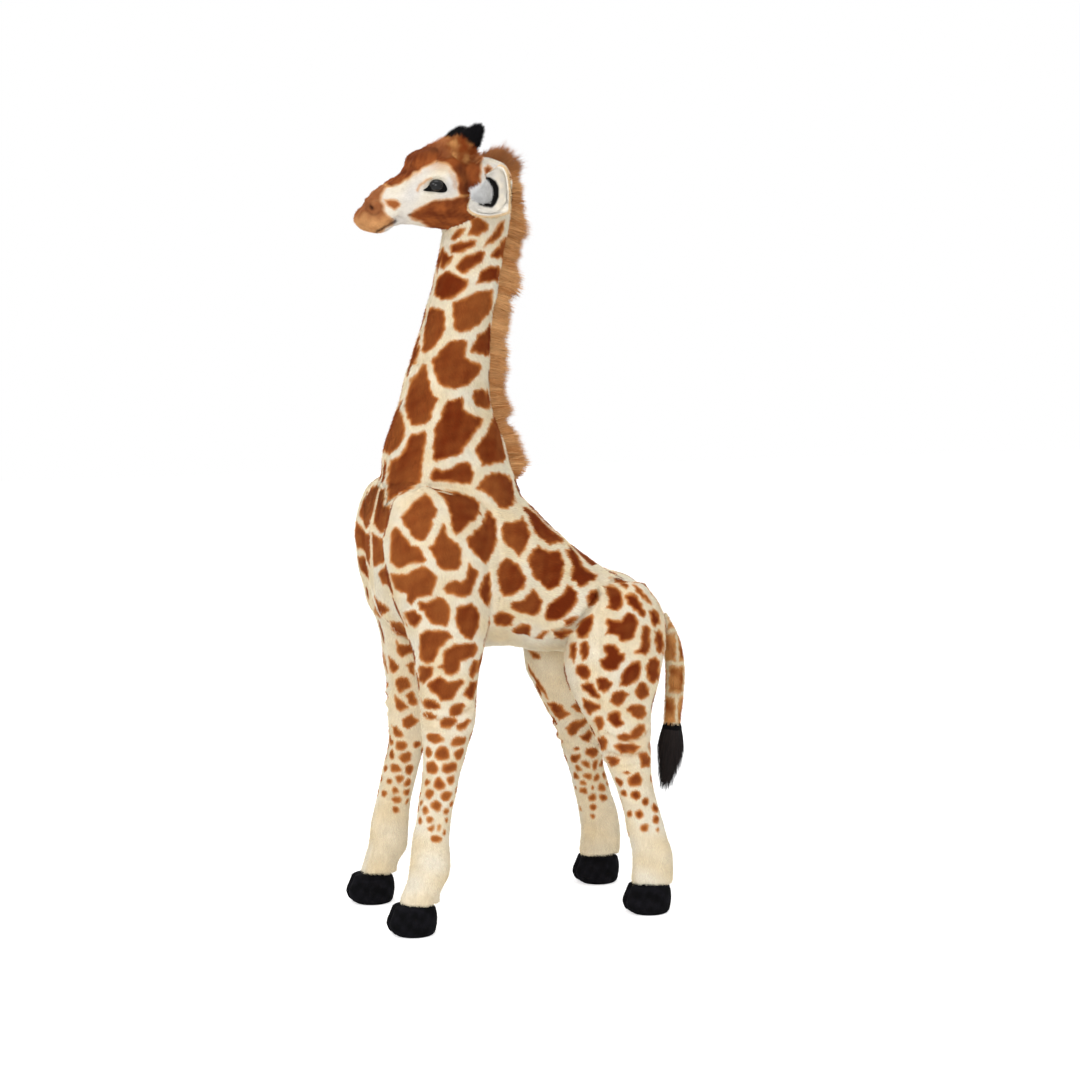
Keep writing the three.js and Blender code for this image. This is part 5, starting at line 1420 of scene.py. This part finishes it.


# Ears: a cupped shell of plush with a pale lining, painted near black as shade in its hollow, and a tuft of
# white hair
EAR_ROOT = np.array([0.065049, -0.096078, 1.241627])
EAR_OUT = np.array([0.90914, 0.16162, -0.38386])
EAR_WIDE = np.array([0.23944, 0.55129, 0.79922])
EAR_FACE = np.array([0.34079, -0.81851, 0.4625])
EAR_START, EAR_END, EAR_HALF, EAR_CUP, EAR_THICK, EAR_ROLL = 0.0022, 0.094, 0.046, 0.026, 0.0034, 0.0035
EAR_ROWS, EAR_COLUMNS = 40, 44
# The hollow, painted near black as its shade, and the tuft, as outlines in the picture
SHADED_HOLLOW = [
    (482, 177), (490, 177), (496, 181), (499, 187), (499, 197), (496, 204), (492, 208), (485, 207),
    (479, 205), (482, 192),
]
FLUFF = [
    (468, 190), (476, 184), (483, 179), (488, 184), (491, 190), (492, 198), (489, 203), (480, 204),
    (471, 199),
]


def ear_point(along, across, out):
    """Points of the ear from shares of its length and half width, and the height off its middle."""
    width = resampled(EAR_WIDE_ROWS, np.clip(along, 0, 1).ravel())[:, 1].reshape(along.shape)
    half = EAR_HALF * np.maximum(width, 0.1)
    cup = EAR_CUP * across**2 * half / EAR_HALF
    wide = half * across * (1 - 0.13 * np.clip(-across, 0, 1) * hump(along, 0.1, 1.1)) - 0.006 * along**2
    return (EAR_ROOT + EAR_OUT * lerp(EAR_START, EAR_END, along)[..., None] + EAR_WIDE * wide[..., None]
            + EAR_FACE * (cup + out)[..., None])


def ear_faces():
    """The ear's back and its cupped front, each as a grid of points."""
    along = np.linspace(0, 1, EAR_ROWS)[:, None] * np.ones((1, EAR_COLUMNS))
    across = np.ones((EAR_ROWS, 1)) * np.sin(np.linspace(-np.pi / 2, np.pi / 2, EAR_COLUMNS))[None, :]
    edge = np.maximum(np.abs(across), np.abs(along * 1.04 - 0.04)) ** 5
    thick = EAR_THICK * np.sqrt(np.maximum(1 - edge * 0.94, 0.02))
    roll = EAR_ROLL * np.exp(-(((np.maximum(np.abs(across), along) - 0.93) / 0.07) ** 2))
    return ear_point(along, across, -thick), ear_point(along, across, thick + 0.0018 + roll)


def grid_quads(rows, columns, offset=0):
    i, j = np.meshgrid(np.arange(rows - 1), np.arange(columns - 1), indexing="ij")
    a = offset + i * columns + j
    return np.stack([a, a + 1, a + columns + 1, a + columns], -1).reshape(-1, 4)


def facing(verts, quads, ways):
    """Faces turned over where they look away from the ways."""
    corner = verts[quads]
    face = np.cross(corner[:, 2] - corner[:, 0], corner[:, 3] - corner[:, 1])
    return quads if (face * ways).sum() > 0 else quads[:, ::-1]


def ear_lining_colour(points):
    at = face_picture(points)
    colour = mottled(srgb(232, 226, 214), srgb(250, 240, 220), points, 0.5, 0.4, 0.02, 171)
    colour = mixed(colour, srgb(222, 218, 210), 0.7 * step(500, 490, at[:, 0]))
    # Painted shade: near black over the hollow behind the tuft
    return mixed(colour, srgb(14, 12, 11), step(-0.9, 0.9, from_outline(at, SHADED_HOLLOW)))


def ear_back_colour(points):
    colour = mottled(CREAM, WARM_CREAM, points, 0.5, 0.5, 0.03, 175)
    return mixed(colour, BROWN, step(0.15, 0.5, wobble(points + 0.01, 0.05, 177)))


back, front = ear_faces()
EAR_POINTS = EAR_ROWS * EAR_COLUMNS
rim_line = np.concatenate([
    np.arange(EAR_COLUMNS),
    np.arange(1, EAR_ROWS) * EAR_COLUMNS + EAR_COLUMNS - 1,
    (EAR_ROWS - 1) * EAR_COLUMNS + np.arange(EAR_COLUMNS - 2, -1, -1),
    np.arange(EAR_ROWS - 2, 0, -1) * EAR_COLUMNS,
])
rim_next = np.roll(rim_line, -1)
rim_quads = np.stack([rim_line, rim_next, rim_next + EAR_POINTS, rim_line + EAR_POINTS], -1)
for side_name, side in SIDES:
    flip = np.array([side, 1, 1])
    body = f"ear_{side_name}"
    outer, inner = (back * flip).reshape(-1, 3), (front * flip).reshape(-1, 3)
    verts = np.concatenate([outer, inner])
    heart = verts.mean(0)
    back_quads = facing(verts, grid_quads(EAR_ROWS, EAR_COLUMNS), -EAR_FACE * flip)
    front_quads = facing(verts, grid_quads(EAR_ROWS, EAR_COLUMNS, EAR_POINTS), EAR_FACE * flip)
    edge_quads = facing(verts, rim_quads, verts[rim_quads].mean(1) - heart)
    quads = np.concatenate([back_quads, front_quads, edge_quads])
    colours = np.concatenate([ear_back_colour(outer), ear_lining_colour(inner)])
    # The ear's backing darkened a little, as painted shade under its pile
    solid(f"ear_{side_name}_plush", verts, [quads], 0.9 * colours, PLUSH, body, "printed_plush",
          (f"ear_back_{side_name}", f"ear_lining_{side_name}"))
    normals = normals_of(verts, quads)
    middle_quads = back_quads.reshape(EAR_ROWS - 1, EAR_COLUMNS - 1, 4)[:EAR_ROWS - 5, 7:EAR_COLUMNS - 8]
    pile_over(f"ear_{side_name}_back_pile", verts, middle_quads.reshape(-1, 4), normals, ear_back_colour,
              always(EAR_OUT * flip), length=0.006, width=0.0009, density=1.5, seed=51 + side, body=body)
    rim_ways = unit(unit(verts - heart) + 1.1 * EAR_FACE * flip)
    pile_over(f"ear_{side_name}_rim_pile", verts, edge_quads, rim_ways, always(srgb(238, 206, 160)),
              lambda points: unit(points - heart), length=0.0058, width=0.0011, density=3.6, seed=55 + side,
              body=body, flat=0.8, lean=0.8, base=0.95)
    pile_over(f"ear_{side_name}_lining_pile", verts, front_quads, normals, ear_lining_colour,
              always(EAR_OUT * flip), length=0.0042, width=0.0009, density=1.5, seed=59 + side, body=body,
              slot="cream_plush", flat=0.8)
    local = np.random.default_rng(63)
    n = 16000
    along, across = local.uniform(0.0, 0.95, n), local.uniform(-0.98, 0.9, n)
    roots = ear_point(along, across, np.full(n, 0.006)) * flip
    within = from_outline(face_picture(roots), FLUFF)
    roots, within = roots[within > 0.2], within[within > 0.2]
    n = len(roots)
    lie = unit(unit(EAR_OUT * 0.6 + EAR_WIDE * 0.5) * flip + 0.35 * local.normal(size=(n, 3)))
    lit = np.clip(0.75 + 0.06 * (482 - face_picture(roots)[:, 0]) + 0.35 * local.normal(size=n), 0, 1)
    white = mixed(srgb(206, 204, 200), srgb(255, 255, 252), lit)
    reach = 0.007 + 0.002 * np.minimum(within, 4)
    fluff_lit = unit((EAR_FACE + np.array([0.4, -0.1, 0.5])) * flip)
    fluff = strands(f"ear_{side_name}_fluff", roots, always(EAR_FACE * flip)(roots), lie, white,
                    length=reach, width=0.0008, steps=3, droop=0.15 * lie, frizz=0.45, seed=64, flat=0.95,
                    lean=0.9, body=body, slot="white_fur", material=HAIR, base=0.98, tip=1.06,
                    shaded=always(fluff_lit)(roots))
    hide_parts(f"ear_fluff_{side_name}")


# Eyes: a glossy ball in a dark rim
EYE_RADIUS, EYE_DEEP, EYE_BALL_AT, RIM_PROUD, RIM_SLOPE = 0.0108, 0.0092, 0.0036, 0.0088, 0.0048
EYE_SIDES, RIM_THICK = 60, 0.004
FELT = plain_material("black felt", srgb(10, 9, 9), scale=500, roughness=0.9, bump=0.0003,
                      Specular_IOR_Level=0.1)
GLOSS = plain_material("glossy black eye", srgb(6, 5, 5), scale=60, low=0.7, high=1.3, roughness=0.02,
                       Specular_IOR_Level=0.36)
closed_line = np.array(EYE_FLAT + EYE_FLAT[:1])
run = np.concatenate([[0], np.cumsum(np.linalg.norm(np.diff(closed_line, axis=0), axis=1))])
even = np.linspace(0, run[-1], EYE_SIDES + 1)[:-1]
rim_line = np.stack([np.interp(even, run, closed_line[:, k]) for k in range(2)], -1)
for _ in range(2):
    rim_line = 0.5 * rim_line + 0.25 * (np.roll(rim_line, 1, 0) + np.roll(rim_line, -1, 0))
rings = []
for r in np.linspace(0, 1, 15):
    out = RIM_PROUD - RIM_SLOPE * r**2
    rings.append(EYE_AT + r * rim_line @ np.stack([EYE_BACK, EYE_UP]) + out * EYE_OUT)
rings = np.array(rings)
under = rings[::-1][:-1] - RIM_THICK * EYE_OUT
rim_rings = np.concatenate([rings[1:], under[:1] * 0.5 + rings[-1:] * 0.5, under])
around = (np.arange(EYE_SIDES) / EYE_SIDES * 2 * np.pi)[:, None]
ball_rings = []
for p in np.linspace(0.04, np.pi * 0.62, 26):
    spin = EYE_RADIUS * math.sin(p) * (1.12 * np.cos(around) * EYE_BACK + 0.93 * np.sin(around) * EYE_UP)
    ball_rings.append(EYE_AT + spin + (EYE_BALL_AT + EYE_DEEP * math.cos(p)) * EYE_OUT)
for side_name, side in SIDES:
    flip = np.array([side, 1, 1])
    solid(f"eye_rim_{side_name}_felt", *tube(rim_rings * flip), BLACK, FELT, "body", "black_felt",
          (f"eye_rim_{side_name}",), padded=False)
    solid(f"eye_{side_name}_ball", *tube(np.array(ball_rings) * flip), BLACK, GLOSS, "body", "gloss_black",
          (f"eye_{side_name}",), padded=False)


# Hooves: black plush, cleft in front, cut under at the heel
HOOF_HALF_WIDE, HOOF_HALF_DEEP, HOOF_SIDES, HOOF_ROUND = 0.0362, 0.042, 72, 0.93
CLEFT_DEEP, CLEFT_WIDE = 0.015, 0.0044
SOLE_UP = 0.0006


def hoof_rings(node, shift):
    low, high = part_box(node)
    centre = (low + high) / 2
    share = np.concatenate([np.linspace(0, 0.12, 7), np.linspace(0.18, 0.9, 15), [0.95, 0.98, 1.0]])
    turn = np.arange(HOOF_SIDES) / HOOF_SIDES * 2 * np.pi
    rings = []
    for a, wide, deep, _ in resampled(HOOF, share):
        soft_top = math.sqrt(max(1 - max(0, (a - 0.93) / 0.07) ** 2 * 0.5, 0.1))
        x = np.sign(np.cos(turn)) * np.abs(np.cos(turn)) ** HOOF_ROUND * wide * HOOF_HALF_WIDE * soft_top
        y = np.sign(np.sin(turn)) * np.abs(np.sin(turn)) ** HOOF_ROUND * deep * HOOF_HALF_DEEP * soft_top
        toe = np.clip(-y / HOOF_HALF_DEEP, 0, 1)
        heel = np.clip(y / HOOF_HALF_DEEP, 0, 1)
        cleft = CLEFT_DEEP * np.exp(-((x / CLEFT_WIDE) ** 2)) * toe**0.5 * lerp(1, 0.3, a)
        y = y + np.where(y < 0, cleft, 0)
        y = y - toe * (0.0045 * hump(a, 0.0, 0.8) - 0.006 * step(0.16, 0.0, a) + 0.003 * a)
        y = y - heel * 0.008 * (1 - a) ** 0.8
        x = x * (1 - 0.14 * heel * (1 - a))
        z = np.clip(a * high.z - 0.004 * heel * a, low.z + SOLE_UP, high.z)
        rings.append(np.stack([centre.x + x, centre.y + shift + y, z], -1))
    return np.array(rings)


def off_floor(points):
    return points[:, 2] > 0.004


def hoof_black(points):
    return mottled(srgb(9, 9, 11), srgb(24, 23, 28), points, 0.4, 0.4, 0.02, 181)


for end, shift in (("front", FRONT_FOOT_SHIFT), ("rear", REAR_FOOT_SHIFT)):
    for side_name, _ in SIDES:
        node = f"{end}_hoof_{side_name}"
        verts, faces = tube(hoof_rings(node, shift))
        # The hoof's backing darkened, as painted shade under its pile
        solid(f"{node}_plush", verts, faces, 0.7 * hoof_black(verts), BLACK_PILE, "body", "black_plush",
              (node,))
        pile_over(f"{node}_pile", verts, faces[0], normals_of(verts, faces[0]), hoof_black, flow_down,
                  length=0.0032, width=0.0008, density=2.2, seed=71 + len(node), keep=off_floor,
                  slot="black_plush", material=BLACK_PILE, lean=1.7, frizz=0.25)


# Mane: a ridge of brushed hair from between the horns down to the withers
MANE_REACH, MANE_HALF_WIDE, MANE_LOTS = 0.042, 0.009, 3
CROWN_POINTS, LOW_POINTS = 12, 60
# Locks longer or shorter than the rest: share of the mane's length from the withers, how much, and width
LOCKS = [
    (0.885, -0.38, 0.03), (0.95, 0.1, 0.025), (0.81, -0.18, 0.03), (0.655, -0.2, 0.02), (0.595, 0.26, 0.028),
    (0.4, 0.12, 0.05), (0.16, -0.22, 0.05), (0.04, 0.4, 0.03),
]
neck_rows = resampled(NECK, np.linspace(0.15, 0.97, LOW_POINTS))
head_rows = resampled(HEAD, np.linspace(0.02, 0.2, CROWN_POINTS))
mane_low = placed(np.stack([
    np.zeros(LOW_POINTS), NECK_Y + NECK_LEAN * neck_rows[:, 3] + NECK_DEEP / 2 * neck_rows[:, 2] - 4,
    NECK_Z + NECK_LONG * neck_rows[:, 0],
], -1))
mane_top = placed(np.stack([
    np.zeros(CROWN_POINTS), NAPE_Y - HEAD_LONG * head_rows[:, 0],
    SKULL_Z - HEAD_DROP * head_rows[:, 3] + HEAD_TALL / 2 * head_rows[:, 2] - 5,
], -1))
mane_line = np.concatenate([mane_low, mane_top])
steps_along = np.linalg.norm(np.diff(mane_line, axis=0), axis=1)
mane_share = np.concatenate([[0], np.cumsum(steps_along)]) / steps_along.sum()
n = 36000
local = np.random.default_rng(81)
place = local.random(n)
none = np.zeros(n)
roots = np.stack([np.interp(place, mane_share, mane_line[:, k]) for k in range(3)], -1)
tangent = unit(np.stack([
    np.interp(place, mane_share, np.gradient(mane_line[:, k], mane_share)) for k in range(3)
], -1))
out = unit(np.stack([none, tangent[:, 2], -tangent[:, 1]], -1))
sideways = local.uniform(-1, 1, n)
roots[:, 0] += MANE_HALF_WIDE * sideways
roots += out * (-0.0015 - 0.001 * sideways[:, None] ** 2)
end = np.minimum(1, 0.4 + np.sin(np.pi * place) / 0.4)
end = np.maximum(end, 0.75 * step(0.88, 0.93, place)) * step(1.0, 0.965, place) ** 0.5
end = end * (1 + 0.22 * wobble(roots, 0.008, 189) * step(0.84, 0.9, place))
in_plane = roots * [0, 1, 1]
lock = 1 + 0.1 * wobble(in_plane, 0.034, 183) + 0.05 * wobble(in_plane, 0.013, 185)
for at, reach, width in LOCKS:
    lock = lock + reach * np.exp(-(((place - at) / width) ** 2))
swirl = 0.16 * wobble(in_plane, 0.02, 187)[:, None] * tangent
laid = lerp(0.22, 0.6, step(0.88, 0.94, place))[:, None] * tangent
lie = unit(out + np.stack([0.3 * sideways, none, none], -1) + swirl - laid)
tone = np.clip(0.55 + 0.25 * wobble(roots, 0.03, 191) + 0.2 * local.normal(size=n), 0, 1)
mane_colour = mixed(srgb(188, 116, 58), srgb(236, 180, 120), tone)
mane_colour = mixed(mane_colour, srgb(150, 84, 42), 0.75 * step(0.86, 0.94, place))
outside = np.sign(sideways) * (0.5 + 0.5 * np.abs(sideways))
mane_lit = unit(np.stack([outside, none, np.full(n, 0.25)], -1) + 0.5 * out)
for part in range(MANE_LOTS):
    some = slice(part, None, MANE_LOTS)
    mane = strands(f"mane_hair_{part + 1}", roots[some], out[some], lie[some], mane_colour[some],
                   length=(MANE_REACH * end * lock)[some], width=0.00115, steps=3,
                   droop=-0.08 * tangent[some], frizz=0.26, seed=82 + part, flat=0.75, lean=1.0,
                   slot="brown_fur", material=HAIR, base=0.9, tip=1.14, sink=0.004, shaded=mane_lit[some])
    if part == 0:
        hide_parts("mane")

# Tail and its tuft
TAIL_TOP, TAIL_LONG, TAIL_LEAN, TAIL_RADIUS = np.array([0.0, 0.263, 0.49469]), 0.188, 0.019, 0.0155
TAIL_MIDDLE_Y, DIAMOND_HIGH, DIAMOND_WIDE = 0.28, 0.056, 2.3
table = resampled(TAIL, np.linspace(0, 1, 50))
centres = TAIL_TOP + np.stack([np.zeros(50), TAIL_LEAN * table[:, 2], -TAIL_LONG * table[:, 0]], -1)
radii = (TAIL_RADIUS * table[:, 1] - 0.0012) * lerp(0.78, 1.1, step(0, 0.3, table[:, 0]))
top = TAIL_TOP + np.stack([np.zeros(4), np.zeros(4), [0.0085, 0.0075, 0.005, 0.002]], -1)
verts, faces = swept(np.concatenate([top, centres]), np.concatenate([[0.001, 0.002, 0.003, 0.004], radii]))


def tail_coat(points):
    """Rows of patches round the tail, each row turned against the next."""
    around = np.arctan2(points[:, 0], points[:, 1] - TAIL_MIDDLE_Y)
    grid = np.stack([around / DIAMOND_WIDE + 0.3, (points[:, 2] - 0.302) / DIAMOND_HIGH], -1)
    grid[:, 0] += 0.45 * (np.floor(grid[:, 1]) % 2)
    cell = np.abs(grid - np.floor(grid) - 0.5)
    depth = 0.475 - np.maximum(cell[:, 0] * 1.02, cell[:, 1]) - 0.1 * cell.sum(1)
    depth = depth + 0.035 * wobble(points, 0.014, 195)
    colour = mixed(WARM_CREAM, TAN, step(-0.06, 0.02, depth))
    dark = mottled(srgb(158, 82, 32), srgb(226, 158, 92), points, 0.5, 0.5, 0.03, 197)
    return mixed(colour, dark, step(0.03, 0.13, depth))


# The tail's backing darkened, as painted shade under its pile
solid("tail_plush", verts, faces, 0.8 * tail_coat(verts), PLUSH, "tail", "printed_plush", ("tail",))
pile_over("tail_pile", verts, faces[0], normals_of(verts, faces[0]), tail_coat, flow_down, length=0.0075,
          width=0.0011, density=1.3, seed=91, body="tail", lean=1.5)
TUFT_TOP, TUFT_LONG, TUFT_RADIUS, TUFT_REACH = np.array([0.0, 0.2775, 0.297090]), 0.078, 0.0125, 0.044
TUFT = [
    (0.0, 1.15, 0.0), (0.08, 1.36, 0.04), (0.3, 1.22, 0.15), (0.5, 0.95, 0.35), (0.7, 0.66, 0.6),
    (0.88, 0.4, 0.8), (1.0, 0.12, 1.0),
]
table = resampled(TUFT, np.linspace(0, 1, 30))
core = TUFT_TOP + np.stack([np.zeros(30), -0.012 * table[:, 2], 0.009 - TUFT_LONG * table[:, 0]], -1)
verts, faces = swept(core, TUFT_RADIUS * table[:, 1])
solid("tail_tuft_core", verts, faces, BLACK, BLACK_PILE, "tail_tuft", "black_fur", ("tail_tuft",))
n = 6500
local = np.random.default_rng(95)
roots, out, _ = scattered(verts, faces[0], normals_of(verts, faces[0]), n, 96)
reach = TUFT_REACH * local.uniform(0.6, 1.3, n)
dark = mixed(srgb(12, 9, 9), srgb(34, 24, 22), local.random(n))
strands("tail_tuft_hair", roots, out, always(np.array([0.0, -0.1, -1.0]))(roots), dark, length=reach,
        width=0.0012, lean=6, steps=4, droop=np.array([0, 0, -0.3]), frizz=0.32, seed=97, flat=0.5,
        body="tail_tuft", slot="black_fur", material=HAIR, base=0.8, tip=1.3)

# What is left of the frame inside
STEEL = plain_material("steel", srgb(150, 152, 156), scale=200, low=0.92, high=1.05, roughness=0.35,
                       Metallic=1.0)
BOARD = plain_material("sole board", srgb(60, 56, 52), scale=150)
WASHER = plain_material("washer plastic", srgb(215, 215, 210), scale=150, low=0.95, high=1.03, roughness=0.5)
for node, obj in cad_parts.items():
    if not obj.hide_render:
        obj.data.materials.clear()
        obj.data.materials.append(BOARD if "plate" in node else WASHER if "washer" in node else STEEL)

# Floor: nearly white, and brighter to the camera alone, so that it keeps the shadow
FLOOR_HALF = 9.0
floor_corners = np.array([[-1, -1, 0], [1, -1, 0], [1, 1, 0], [-1, 1, 0]]) * FLOOR_HALF
floor = object_of("floor", mesh_of("floor", floor_corners, [np.array([[0, 1, 2, 3]])]))
made, tree, out = shader("white floor", 0.9, Base_Color=(0.93, 0.93, 0.93, 1), Specular_IOR_Level=0.0,
                         Emission_Color=(1, 1, 1, 1))
path = node_in(tree, "LightPath")
glow = node_in(tree, "Math", "MULTIPLY")
glow.inputs[1].default_value = 0.5
tree.links.new(path.outputs["Is Camera Ray"], glow.inputs[0])
tree.links.new(glow.outputs[0], out.inputs["Emission Strength"])
floor.data.materials.append(made)

# World: pale light, and plain white where the camera or a reflection sees it
world = bpy.data.worlds.new("studio")
bpy.context.scene.world = world
world.use_nodes = True
tree = world.node_tree
ground = tree.nodes["Background"]
ground.inputs["Color"].default_value = (0.95, 0.95, 0.96, 1)
seen = node_in(tree, "Background", Color=(1, 1, 1, 1))
path = node_in(tree, "LightPath")
either, both = node_in(tree, "Math", "MAXIMUM"), node_in(tree, "Math", "MAXIMUM")
blend = tree.nodes.new("ShaderNodeMixShader")
tree.links.new(path.outputs["Is Camera Ray"], either.inputs[0])
tree.links.new(path.outputs["Is Glossy Ray"], either.inputs[1])
tree.links.new(either.outputs[0], both.inputs[0])
tree.links.new(path.outputs["Is Transmission Ray"], both.inputs[1])
tree.links.new(both.outputs[0], blend.inputs["Fac"])
tree.links.new(ground.outputs[0], blend.inputs[1])
tree.links.new(seen.outputs[0], blend.inputs[2])
tree.links.new(blend.outputs[0], tree.nodes["World Output"].inputs["Surface"])


# Lamps: where they stand round and above the toy in degrees, how far off, their size and their power
LAMP_AIM = Vector((0, 0, 0.75))
LAMPS = {"key": (30, 34, 3.2, 1.0, 17), "fill": (64, 11, 5.8, 1.9, 72), "top": (60, 78, 3.0, 1.6, 15)}
for name, (azimuth, elevation, away, size, watts) in LAMPS.items():
    light = bpy.data.lights.new(name, "AREA")
    light.size = size
    light.energy = watts
    lamp = object_of(name, light)
    a, e = math.radians(azimuth), math.radians(elevation)
    way = Vector((math.sin(a) * math.cos(e), -math.cos(a) * math.cos(e), math.sin(e)))
    lamp.location = LAMP_AIM + away * way
    lamp.rotation_euler = (-way).to_track_quat("-Z", "Y").to_euler()

SENSOR_MM, SEES_TO = 36, 60
camera = object_of("camera", bpy.data.cameras.new("camera"))
camera.data.sensor_width = SENSOR_MM
camera.data.lens = SENSOR_MM * FOCAL_PX / (2 * HALF_PX)
camera.data.clip_end = SEES_TO
camera.location = Vector(VIEWER)
camera.rotation_euler = Vector(-BACK).to_track_quat("-Z", "Y").to_euler()
bpy.context.scene.camera = camera
bpy.context.scene.view_settings.view_transform = "Standard"
